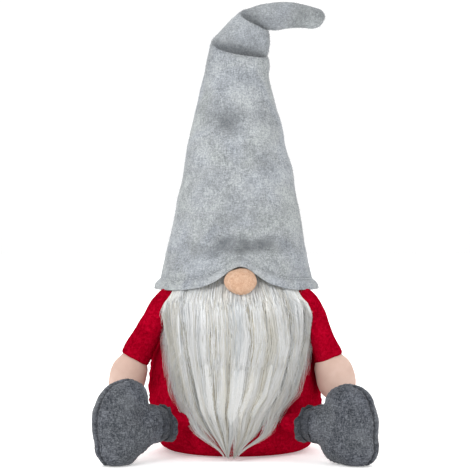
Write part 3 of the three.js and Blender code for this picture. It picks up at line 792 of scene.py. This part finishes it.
def build_nose():
    low, high = (np.array(c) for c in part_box("nose_cover"))
    centre, half = (low + high) / 2, (high - low) / 2
    turn = turns(56)
    rings = []
    for polar in np.arange(1, 36) * math.pi / 36:
        wide = 0.92 * (1.0 + 0.05 * math.sin(polar) ** 4)
        ring = [wide * np.sin(polar) * np.cos(turn), np.full(56, np.cos(polar)), np.sin(polar) * np.sin(turn)]
        rings.append(centre + half * np.transpose(ring))
    nose = tube_object("nose", np.array(rings), nose_cloth, True, True)
    undulate(nose, (0.9, 16, 21), (0.35, 7, 22))
    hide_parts("nose_cover", "nose_filling")
    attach(nose, "body")


build_nose()

# ---- the beard

BEARD_TOP, BEARD_TIP = 0.203, 0.003
# The outline of the beard: height, half width and the shift of its middle towards the gnome's left, in mm.
BEARD_SHAPE = np.array([
    (3, 6, -5.5), (12, 12.5, -5.5), (24, 22.5, -3), (38, 33, -4), (50, 42, -5.5), (68, 57, -1),
    (92, 66.5, 0.5), (122, 74.5, 2.6), (146, 76.5, 0.6), (174, 74.5, -3.0), (203, 67, -2.5),
]).T * MM
# Height, and the most that the beard may stand off the axis there, which keeps it under the brim.
BEARD_REACH = np.array([(130, 106), (160, 92), (170, 83.5), (184, 76.5), (205, 71.5)]).T * MM


def half_width(z):
    return np.interp(z, BEARD_SHAPE[0], BEARD_SHAPE[1])


def beard_point(z, across, depth):
    """A point of the beard: across is -1 to 1, depth is 0 at the backing and 1 on the combed surface."""
    z = np.asarray(z, float)
    # Below its widest point the body curves in, and the beard hangs straight down.
    lie = body_radius(np.maximum(z, 0.060)) + 2.2 * MM
    widest = np.radians(66 - 12 * smoothstep(0.085, 0.125, z))
    edge = np.minimum(widest, np.arcsin(np.minimum(half_width(z) / (lie + 10 * MM), 0.99)))
    taper = np.clip(np.minimum((z - BEARD_TIP + 0.014) / 0.06, (BEARD_TOP + 0.030 - z) / 0.04), 0.15, 1)
    root = lie + 1.6 * MM
    middle = root + 12 * MM * taper
    rim = np.maximum(half_width(z) / np.sin(edge), root + 3 * MM)
    surface = middle + (rim - middle) * across**2
    radius = np.minimum(root + (surface - root) * depth, np.interp(z, *BEARD_REACH))
    angle = edge * across + np.interp(z, BEARD_SHAPE[0], BEARD_SHAPE[2]) / radius
    return np.stack([radius * np.sin(angle), -radius * np.cos(angle), z], axis=-1)


def beard_under():
    """The dense underfur, a soft slab that the long hair lies on."""
    rows, columns = 60, 44
    z = np.linspace(BEARD_TOP, 0.040, rows)[:, None] * np.ones(2 * columns)
    across = np.linspace(-0.94, 0.94, columns)
    depth = np.repeat([0.62, 0.06], columns) * np.ones((rows, 1))
    points = beard_point(z, np.concatenate([across, across[::-1]]) * np.ones((rows, 1)), depth)
    # Each ring runs along the front and back again; a strip between the two closes the first and the last.
    strip = [(j, j + 1, 2 * columns - 2 - j, 2 * columns - 1 - j) for j in range(columns - 1)]
    last = (rows - 1) * 2 * columns
    faces = ring_faces(rows, 2 * columns) + strip + [tuple(last + i for i in face) for face in strip]
    under = new_object("beard_underfur", points.reshape(-1, 3), faces, under_fur)
    undulate(under, (1.6, 12, 31), (0.6, 5, 32))
    set_attribute(under.data, "strand", 0.35 + 0.3 * noise_at(coordinates(under), 0.006, 33))
    return under


LOCKS = 230
LOWEST_LOCK = 0.096  # the height at which the lowest lock starts
STRANDS = 22000
SEGMENTS = 9
FULL_HALF = 78 * MM  # the half width that the flow of the hair just fills
ALONG = np.linspace(0, 1, SEGMENTS + 1)[None, :]


def ridges(z, flow):
    """The long soft ridges and hollows that the combed locks make, about -1 to 1."""
    turn = flow * 17 + 0.5 * np.sin(z * 30 + flow * 5)
    fade = 0.75 + 0.45 * np.sin(z * 42 + flow * 23)
    fine = 0.5 * np.sin(turn * 1.9 + 0.6) + 0.35 * np.sin(turn * 3.3 + 2.1 + z * 10)
    return fade * (fine + 0.3 * np.sin(turn * 0.8 + z * 12))


def hair_paths(top, length, start, end, wave, phase, rise, floor=0.004):
    """Centre lines of hairs that leave the backing, lie down on the beard and end free.

    A hair keeps its place in the flow of the beard, from -1 at one side to 1 at the other; the outline
    narrows faster than the flow, so the outer hairs run out of it one after the other.
    """
    top, length, start, end, wave, phase, rise, low = (
        np.reshape(value, (-1, 1)) for value in (top, length, start, end, wave, phase, rise, floor))
    z = top - length * ALONG
    z = np.where(z < low + 0.006, low + 0.006 * np.exp((z - low - 0.006) / 0.006), z)
    flow = start + (end - start) * smoothstep(0, 1, ALONG) + wave * np.sin(phase + ALONG * 4.6) * ALONG
    across = flow * np.clip(half_width(z) / FULL_HALF, 0.05, 1) ** -0.3
    depth = rise * (0.25 + 0.75 * smoothstep(0.0, 0.18, ALONG)) * (1.0 - 0.10 * ALONG**2)
    depth = depth + 0.20 * ridges(z, flow) * smoothstep(0.1, 0.4, ALONG)
    # The very tip is forked.
    prong = np.where(across < 0.1, -0.40, 0.52)
    across = across + (prong - across) * 0.70 * smoothstep(0.030, 0.006, z)
    points = beard_point(z, across, depth)
    fluff = 7.5 * MM * bell(z - 0.166, 0.026) * np.exp(-((across / 0.85) ** 4))
    fluff += 6.5 * MM * bell(z - 0.160, 0.017) * bell(across - 0.06, 0.34)
    return points + unit(points * [1, 1, 0]) * (fluff * depth * smoothstep(0.196, 0.176, z))[..., None]


def lock_hairs():
    """Hairs gathered into pointed locks; those in the hollows between locks and those lying deep take darker
    tones, as painted shade.
    """
    span = BEARD_TOP - LOWEST_LOCK
    lock_top = LOWEST_LOCK + span * rng.random(LOCKS) ** 0.55
    lock_flow = np.linspace(-0.98, 0.98, LOCKS)[rng.permutation(LOCKS)] + rng.normal(0, 0.01, LOCKS)
    # A lock ends either where it runs out of the outline or some way above that.
    lock_low = np.interp(FULL_HALF * np.abs(lock_flow) ** 3.33, BEARD_SHAPE[1, :8], BEARD_SHAPE[0, :8])
    at_outline = rng.random(LOCKS) < 0.6
    close, higher = rng.normal(0.002, 0.007, LOCKS), rng.uniform(0.01, 0.06, LOCKS)
    lock_low = np.clip(lock_low + np.where(at_outline, close, higher), 0.001, lock_top - 0.055)
    lock_rise = 0.78 + 0.22 * (lock_top - LOWEST_LOCK) / span + rng.uniform(0, 0.12, LOCKS)
    lock_tone = rng.choice(3, LOCKS, p=[0.5, 0.3, 0.2])
    owner = rng.integers(0, LOCKS, STRANDS)
    spread_out = rng.normal(0.0, 0.030, STRANDS)
    top = np.clip(lock_top[owner] + rng.uniform(-0.016, 0.010, STRANDS), 0.07, BEARD_TOP)
    start = np.clip(lock_flow[owner] + spread_out * 1.6, -1.0, 1.0)
    end = lock_flow[owner] + spread_out * 0.5 + rng.normal(0, 0.008, STRANDS)
    stray = rng.random(STRANDS) < 0.08
    end = np.where(stray, end + rng.normal(0, 0.08, STRANDS), end)
    rise = lock_rise[owner] * rng.uniform(0.86, 1.04, STRANDS)
    length = (top - lock_low[owner]) * rng.uniform(0.80, 1.04, STRANDS)
    wave = rng.normal(0, 0.013, LOCKS)[owner]
    phase = rng.uniform(0, 2 * math.pi, LOCKS)[owner]
    paths = hair_paths(top, length, start, end, wave, phase, rise, 0.0012 + 0.003 * rng.random(STRANDS))
    # Painted shade: hairs in the hollows between locks, and hairs lying low, take the darker straw and ash
    # tones.
    hollow = smoothstep(0.02, -0.62, ridges(top - 0.5 * length, end))
    dark_share = 0.10 * smoothstep(0.95, 0.75, rise) + 0.66 * hollow * smoothstep(0.218, 0.165, top)
    deep = rng.random(STRANDS) < dark_share
    tone = np.where(deep, rng.integers(3, 5, STRANDS), lock_tone[owner])
    tone = np.where(rng.random(STRANDS) < 0.12, rng.integers(0, 3, STRANDS), tone)
    return paths, tone, rng.uniform(0.12, 0.24, STRANDS) * MM


def either_side(count):
    return np.where(rng.random(count) < 0.5, -1.0, 1.0)


def edge_wisps(count=1600):
    """Thin loose hairs that stand off the sides and the lower edge of the beard."""
    side = either_side(count)
    top = rng.uniform(0.055, BEARD_TOP - 0.012, count)
    start = side * rng.uniform(0.62, 1.0, count)
    end = side * rng.uniform(0.90, 1.18, count)
    length = rng.uniform(0.028, 0.072, count)
    wave = rng.normal(0, 0.03, count)
    phase = rng.uniform(0, 2 * math.pi, count)
    paths = hair_paths(top, length, start, end, wave, phase, rng.uniform(0.6, 1.15, count))
    return paths, rng.integers(0, 3, count), rng.uniform(0.08, 0.15, count) * MM


def side_tufts(count=700, bunches=26):
    """Short hairs that stand off the widest part of the beard, over the tops of the sleeves."""
    side = either_side(count)
    bunch = rng.integers(0, bunches, count)
    top = rng.uniform(0.138, 0.180, bunches)[bunch] + rng.normal(0, 0.003, count)
    start = side * rng.uniform(0.84, 1.0, count)
    end = side * (rng.uniform(1.0, 1.15, bunches)[bunch] + rng.normal(0, 0.02, count))
    length = rng.uniform(0.014, 0.030, bunches)[bunch] * rng.uniform(0.8, 1.1, count)
    wave, phase = rng.normal(0, 0.02, count), rng.uniform(0, 2 * math.pi, count)
    paths = hair_paths(top, length, start, end, wave, phase, rng.uniform(0.6, 1.0, count))
    return paths, rng.integers(0, 3, count), rng.uniform(0.09, 0.16, count) * MM


def nose_wisps(count=80):
    """Short hairs that start beside and under the nose and lie over its lower edge."""
    turn = rng.uniform(-1.0, 1.0, count) * math.pi * 0.34 - math.pi / 2
    reach = rng.uniform(0.86, 1.10, count)
    wide, deep, tall = 17.6 * MM, 14.6 * MM, 14.4 * MM  # the half sizes of the nose
    off = wide * reach * np.cos(turn)
    z = 184.2 * MM + tall * reach * np.sin(turn)
    y = -86.0 * MM - deep * np.sqrt(np.clip(1.12 - reach**2 * 0.9, 0.12, 1))
    fall = rng.uniform(0.022, 0.046, count)
    z = z[:, None] - fall[:, None] * ALONG
    x = ARCH_X + off[:, None] * (1 + 0.35 * ALONG) + rng.normal(0, 0.003, count)[:, None] * ALONG
    rest = beard_point(z, np.clip(x / 0.068, -1, 1), 1.1)[..., 1] - 7.5 * MM * bell(z - 0.166, 0.026)
    settle = smoothstep(0.12, 0.85, ALONG)
    lines = np.stack([x, y[:, None] * (1 - settle) + rest * settle, z], axis=-1)
    return lines, rng.integers(0, 3, count), rng.uniform(0.04, 0.07, count) * MM


def beard_backing():
    rows, columns = 30, 26
    z = np.linspace(BEARD_TOP - 0.002, 0.078, rows)[:, None] * np.ones(columns)
    points = beard_point(z, np.linspace(-0.86, 0.86, columns) * np.ones((rows, 1)), 0.0)
    points[..., :2] *= 0.985
    faces = [(i * columns + j, i * columns + j + 1, (i + 1) * columns + j + 1, (i + 1) * columns + j)
             for i in range(rows - 1) for j in range(columns - 1)]
    cloth = new_object("beard_backing_cloth", points.reshape(-1, 3), faces, backing_weave)
    cloth.modifiers.new("thickness", "SOLIDIFY").thickness = 0.8 * MM
    apply_modifiers(cloth)
    return cloth


HAIRS_PER_PIECE = 3400
underfur = beard_under()
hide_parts("beard_pile", "beard_top_pile")
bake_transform(underfur)
hairs = [lock_hairs(), edge_wisps(), nose_wisps(), side_tufts()]
lines, tones, hair_width = (np.concatenate(values) for values in zip(*hairs))
for number, tone in enumerate(FUR_TONES):
    chosen = np.flatnonzero(tones == number)
    pieces = max(1, math.ceil(len(chosen) / HAIRS_PER_PIECE))
    for part, index in enumerate(np.array_split(chosen, pieces)):
        outward = unit(lines[index] * [1, 1, 0])
        name = f"beard_hair_{tone.name}_{part + 1}"
        hair = strand_mesh(name, lines[index], tone, hair_width[index], outward)
        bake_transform(hair)
backing = beard_backing()
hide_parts("beard_backing", "beard_top_backing")
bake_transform(backing)

# ---- the arms


def build_arm(label, side, splay, cuff, palm):
    """A sleeve, cuff metres long from the shoulder, and the hand that hangs out of it."""
    shoulder = np.array([side * 0.075, -0.042, 0.1603])
    lean = math.radians(splay)
    down = np.array([side * math.sin(lean), 0, -math.cos(lean)])
    front = np.array([0.0, -1.0, 0.0])
    across = np.cross(front, down)
    # The sleeve as (radius, distance along): the outside, then a little way up the inside.
    outer = smooth_rows([
        (0.006, -0.0142), (0.0105, -0.0120), (0.0128, -0.005), (0.0132, 0.006), (0.0137, 0.016),
        (0.0142, 0.028), (0.0147, 0.040), (0.0152, 0.052), (0.0156, cuff - 0.004), (0.0157, cuff - 0.0012),
        (0.0151, cuff)], 48)
    inner = [(0.0139, cuff + 0.0001), (0.0135, cuff - 0.0012), (0.0130, cuff - 0.010), (0.0126, cuff - 0.022)]
    turn = turns(48)
    circle = np.outer(np.cos(turn), across) + np.outer(np.sin(turn), front)
    rings = np.array([shoulder + circle * radius + down * reach for radius, reach in [*outer, *inner]])
    rings[: len(outer), :, 0] -= side * 6 * MM * smoothstep(0.006, -0.014, outer[:, 1])[:, None]
    sleeve = tube_object(f"{label}_sleeve_cover", rings, red, start_cap=True)
    points = coordinates(sleeve)
    reach = (points - shoulder) @ down
    folds = np.sin(reach / 0.0075 + 3.0 * noise_at(points, 0.03, 50 + side)) * smoothstep(0.0, 0.02, reach)
    rise = 0.54 * MM * folds + relief(points, (1.3, 28, 54 + side), (0.5, 10, 56 + side))
    hem = relief(points, (0.6, 8, 58)) * smoothstep(cuff - 0.01, cuff, reach)
    calm = np.clip((cuff + 0.002 - reach) / 0.012, 0.25, 1)
    move_points(sleeve, points + normals(sleeve) * (rise * calm)[:, None] + np.outer(hem, down))
    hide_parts(f"{label}_sleeve")

    wrist = shoulder + down * (cuff - 0.014)
    tilt = math.radians(15)
    drop = np.array([side * math.sin(tilt), 0, -math.cos(tilt)])
    profile = smooth_rows([(0.0110, 0.0), (0.0123, 0.006), (0.0130, 0.0115), (palm * 0.76, 0.0155),
                           (palm * 0.93, 0.0225), (palm, 0.031), (palm, 0.039), (palm * 0.93, 0.0465),
                           (palm * 0.74, 0.0525), (palm * 0.42, 0.0563), (palm * 0.12, 0.0575)], 44)
    turn = turns(56)
    outwards = np.array([side, 0.0, 0.0])
    rings, at, last = [], wrist, 0.0
    for radius, reach in profile:
        bend = smoothstep(0.004, 0.030, reach)
        way = unit(down * (1 - bend) + drop * bend)
        at, last = at + way * (reach - last), reach
        u = unit(outwards - way * outwards.dot(way))
        circle = np.outer(np.cos(turn), u) + np.outer(np.sin(turn), np.cross(way, u))
        rings.append(at + outwards * 1.6 * MM * smoothstep(0.010, 0.030, reach) + radius * circle)
    hand = tube_object(f"{label}_hand_cover", np.array(rings), skin, True, True)
    inflate(hand, lambda p: (p - wrist) @ down < 0.010, 3.0, 0.0012, 10)
    undulate(hand, (0.9, 24, 61 + side), (0.25, 10, 62 + side))
    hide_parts(f"{label}_hand", f"{label}_arm_filling")
    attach(hand, f"{label}_arm")
    start, end = shoulder - down * 0.010, shoulder + down * 0.014
    tuple(start)
    tuple(end)
    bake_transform(sleeve)


build_arm("right", -1, 28, 0.067, 0.0186)
build_arm("left", 1, 21, 0.063, 0.0200)

# ---- the legs and boots

HIP = np.array([58.0, -86.0, 41.0]) * MM
LEG_SPLAY = math.radians(57)
SETTLED = {"right": 2.2 * MM, "left": 2.7 * MM}  # how far the boots have sunk onto the table
# The lumps of wadding that shape a boot, in mm: how far their middle is along the leg and up from the hip,
# and their radii along the leg, across it and up.
ANKLE_LUMPS = [(46, 0.5, 23.0, 20.5, 22.8), (33, 0.5, 13.0, 19.0, 20.8), (26, 0.5, 8.0, 18.0, 19.0)]
BOOT_LUMPS = {
    "right": [(71, 3, 29.8, 21.0, 44.0), (62, 26, 24.0, 18.5, 22.6), (73, -19, 25.0, 19.5, 23.5),
              (58, -8, 23.0, 19.0, 25.0), *ANKLE_LUMPS],
    "left": [(70, 0, 30.0, 21.0, 41.5), (67, 22, 27.6, 18.5, 21.5), (74, -17, 26.5, 19.5, 25.2),
             (58, -12, 24.0, 19.0, 26.5), *ANKLE_LUMPS],
}
# The gathered cuff, in mm: distance along the leg, radius, and how strongly it is ruffled.
CUFF_ROWS = [
    (30.0, 19.4, 0.2), (26.0, 18.7, 0.3), (23.6, 17.9, 0.4), (21.4, 17.2, 0.4), (19.8, 16.9, 0.4),
    (18.4, 17.3, 0.5), (17.0, 18.0, 0.7), (15.4, 18.6, 0.9), (13.4, 19.1, 1.1), (11.6, 19.5, 1.3),
    (10.7, 19.3, 1.3), (10.4, 18.4, 1.3), (11.2, 17.6, 1.2), (13.4, 17.0, 1.0), (15.6, 16.2, 0.8),
    (17.4, 15.4, 0.6), (18.9, 14.8, 0.4),
]
TIE_AT = 19.8  # the gathering thread, along the leg in mm
LEG_ROWS = [(3.0, -12.0), (6.5, -11.0), (8.8, -7.0), (10.0, 0.0), (11.6, 7.0), (13.0, 18.0), (12.8, 30.0)]


def ball(around=28, rows=16):
    """Points and faces of a ball of radius 1: ring by ring from the top, and then its top and bottom."""
    polar = (np.arange(1, rows) * math.pi / rows)[:, None]
    turn = turns(around)
    x, y, z = np.sin(polar) * np.cos(turn), np.sin(polar) * np.sin(turn), np.cos(polar) + 0 * turn
    rings = np.stack([x, y, z], axis=-1)
    points = np.concatenate([rings.reshape(-1, 3), [(0, 0, 1), (0, 0, -1)]])
    return points, ring_faces(rows - 1, around, True, True)


def leg_frame(side, label):
    """From a leg's own axes, along it, across it and up, to the world; and from the world back."""
    out = np.array([side * math.sin(LEG_SPLAY), -math.cos(LEG_SPLAY), 0.0])
    up = np.array([0.0, 0.0, 1.0])
    axes = np.array([out, np.cross(up, out), up])
    hip = HIP * [side, 1, 1] - up * SETTLED[label]
    return lambda points: hip + points @ axes, lambda points: ((points - hip) @ axes.T).T


def build_boot(label, side, place, local):
    """The boot: lumps of wadding under one skin of felt, swollen, with a seam round its middle."""
    round_points, round_faces = ball()
    points, faces = [], []
    for along, up, *radii in BOOT_LUMPS[label]:
        faces += [tuple(len(points) + i for i in face) for face in round_faces]
        points += list(place((round_points * radii + [along, 0, up]) * MM))
    boot = new_object(f"{label}_boot", points, faces, dark_felt)
    remesh = boot.modifiers.new("one skin", "REMESH")
    remesh.mode = "VOXEL"
    remesh.voxel_size = 0.0026
    remesh.use_smooth_shade = True
    soften = boot.modifiers.new("soften", "SMOOTH")
    soften.iterations = 9
    soften.factor = 0.5
    apply_modifiers(boot)

    def from_seam(across):
        return np.abs(across + side * 2.5 * MM)

    def on_seams(points):
        along, across, _ = local(points)
        return (from_seam(across) < 1.8 * MM) | (along < 27 * MM)

    inflate(boot, on_seams, 6.0, 0.0026, 12)
    finer = boot.modifiers.new("finer", "SUBSURF")
    finer.levels = finer.render_levels = 1
    apply_modifiers(boot)
    points = coordinates(boot)
    along, across, up = local(points)
    away = from_seam(across)
    run = np.arctan2(up, along - 0.06)
    rise = relief(points, (1.1, 24, 72 + side), (0.5, 9, 74 + side))
    rise += 1.0 * MM * bell(away, 0.0007) - 2.6 * MM * bell(away, 0.0019)
    rise += 0.5 * MM * np.sin(run * 46 + 3 * noise_at(points, 0.02, 70)) * bell(away, 0.0045)
    rise += 0.9 * MM * np.sin(np.arctan2(up, across) * 11 + side) * (1 - smoothstep(0.026, 0.040, along))
    rise -= 1.6 * MM * bell(along - 0.040, 0.0045) * smoothstep(0.008, 0.020, up)
    points = points + normals(boot) * rise[:, None]
    low, z = 1.6 * MM, points[:, 2]
    points[:, 2] = np.where(z < low, low + 1.2 * MM * (np.exp((z - low) / (1.2 * MM)) - 1), z)
    move_points(boot, points)
    # Painted shade in the groove of the seam and towards the gathered ankle.
    shade_points(boot, 0.75 * bell(away, 0.0016) + 0.3 * (1 - smoothstep(0.024, 0.036, along)))
    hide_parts(*(f"{label}_boot_{part}" for part in ("front_panel", "back_panel", "filling")))
    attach(boot, f"{label}_leg")
    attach(fuzz(boot, f"{label}_boot_fuzz", 3000, 1.8 * MM, dark_felt), f"{label}_leg")
    return boot


def build_cuff(label, side, place):
    """The felt is drawn in by a thread and flares out again in uneven ruffles."""
    around, rows = 110, 46
    turn = turns(around)
    ruffle = np.sin(turn * 7 + 1.5 * np.sin(turn * 2 + side)) + 0.4 * np.sin(turn * 13 + 0.7)
    rings = []
    for reach, radius, wave in CUFF_ROWS:
        grown = (radius + wave * 0.75 * ruffle) * MM
        short = 0.40 + 0.42 * np.sin(turn) if reach < 20 else 0.0
        forward = (reach + short * (TIE_AT - reach) + 0.8 * wave * np.sin(turn * 5 + 1.9 * side)) * MM
        rings.append(place(np.stack([forward, grown * np.cos(turn), grown * np.sin(turn)], axis=1)))
    rings = smooth_rows(np.reshape(rings, (len(rings), -1)), rows).reshape(rows, around, 3)
    cuff = tube_object(f"{label}_boot_cuff", rings, dark_felt)
    undulate(cuff, (0.6, 9, 80 + side), (0.25, 4, 81 + side))
    # Painted shade: the whole cuff darker, as it lies in shade beside the body.
    shade_points(cuff, np.full(len(cuff.data.vertices), 0.5))
    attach(cuff, f"{label}_leg")
    return cuff


def build_tie(label, place):
    """The gathering thread, twisted from two strands."""
    around, sides = 150, 8
    section = turns(sides)
    thick = 0.72 + 0.22 * np.cos(2 * section)
    rings = []
    for a in turns(around):
        twist = section + a * 26
        radial = 17.5 + thick * np.cos(twist)
        along = TIE_AT + 0.1 + 0.35 * math.sin(3 * a) + thick * np.sin(twist)
        rings.append(place(np.stack([along, radial * math.cos(a), radial * math.sin(a)], axis=1) * MM))
    last = (around - 1) * sides
    closing = [(last + k, last + (k + 1) % sides, (k + 1) % sides, k) for k in range(sides)]
    faces = ring_faces(around, sides) + closing
    tie = new_object(f"{label}_gathering_thread", np.reshape(rings, (-1, 3)), faces, dark_thread)
    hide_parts(f"{label}_boot_tie")
    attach(tie, f"{label}_leg")


def build_leg(label, side, place):
    turn = turns(40)
    rings = [place(np.stack([np.full(40, reach), radius * np.cos(turn), radius * np.sin(turn)], axis=1))
             for radius, reach in smooth_rows(np.array(LEG_ROWS) * MM, 30)]
    leg = tube_object(f"{label}_leg_cover", np.array(rings), red, True, True)
    undulate(leg, (0.8, 14, 90 + side), (0.3, 6, 91 + side))
    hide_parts(f"{label}_leg", f"{label}_leg_filling")
    start, end = place(np.array([(-0.004, 0, 0), (0.008, 0, 0)]))
    tuple(start)
    tuple(end)
    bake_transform(leg)


for side, label in ((-1, "right"), (1, "left")):
    place, local = leg_frame(side, label)
    boot = build_boot(label, side, place, local)
    cuff = build_cuff(label, side, place)
    cuff.parent, cuff.matrix_parent_inverse = boot, boot.matrix_world.inverted()
    build_tie(label, place)
    build_leg(label, side, place)

# ---- camera, floor and light


def put(name, data):
    obj = bpy.data.objects.new(name, data)
    bpy.context.scene.collection.objects.link(obj)
    return obj


camera = put("camera", bpy.data.cameras.new("camera"))
camera.data.lens = 146.2
camera.data.sensor_width = 36.0
camera.data.clip_end = 20.0
camera.data.shift_x = -0.002
camera.location = (0.0, -2.05, 0.28)
camera.rotation_euler = (math.radians(90 - 1.40), 0.0, 0.0)
bpy.context.scene.camera = camera


def pale_floor(n):
    colour = n.ramp(n.noise(n.place(), 3.0, 2.0), 0.3, (0.955, 0.955, 0.955), 0.7, (0.97, 0.97, 0.97))
    glow = {"Emission Color": (1, 1, 1, 1), "Emission Strength": 0.32}
    n.finish(colour, n.bump(n.noise(n.place(), 200.0), 0.02, 0.0002), 0.8, **glow)


FLOOR_HALF, FLOOR_TOP = 6, -0.2 * MM
mesh = bpy.data.meshes.new("floor")
corners = [(x * FLOOR_HALF, y * FLOOR_HALF, FLOOR_TOP) for x, y in ((-1, -1), (1, -1), (1, 1), (-1, 1))]
mesh.from_pydata(corners, [], [(0, 1, 2, 3)])
mesh.materials.append(material("pale_floor", None, pale_floor))
put("floor", mesh)


def area_light(name, place, target, size, power, colour=(1, 1, 1)):
    lamp = put(name, bpy.data.lights.new(name, "AREA"))
    lamp.data.shape = "DISK"
    lamp.data.size = size
    lamp.data.energy = power
    lamp.data.color = colour
    lamp.location = place
    lamp.rotation_euler = (Vector(target) - Vector(place)).to_track_quat("-Z", "Y").to_euler()


area_light("key", (-0.75, -1.9, 1.25), (0, 0, 0.22), 0.8, 24)
area_light("fill", (1.5, -1.7, 0.7), (0, 0, 0.2), 1.2, 5.5, (1.0, 0.985, 0.96))
area_light("back", (0.0, 2.6, 2.6), (0, 1.2, 0), 3.0, 60)

# A soft room: white behind the gnome, dimmer from the front.
world = bpy.data.worlds.new("studio")
room = Nodes(world, "Background")
direction = room.add("ShaderNodeSeparateXYZ", {"Vector": room.add("ShaderNodeTexCoord").outputs["Generated"]})
limits = {"From Min": -0.5, "From Max": 0.9, "To Min": 0.48, "To Max": 1.02}
behind = room.add("ShaderNodeMapRange", {"Value": direction.outputs["Y"], **limits}).outputs["Result"]
above = {0: direction.outputs["Z"], 1: 0.5, 2: behind}
strength = room.add("ShaderNodeMath", above, operation="MULTIPLY_ADD")
room.give(room.shader.inputs["Strength"], strength.outputs["Value"])
room.give(room.shader.inputs["Color"], (1, 1, 1, 1))
bpy.context.scene.world = world
bpy.context.scene.view_settings.view_transform = "Standard"
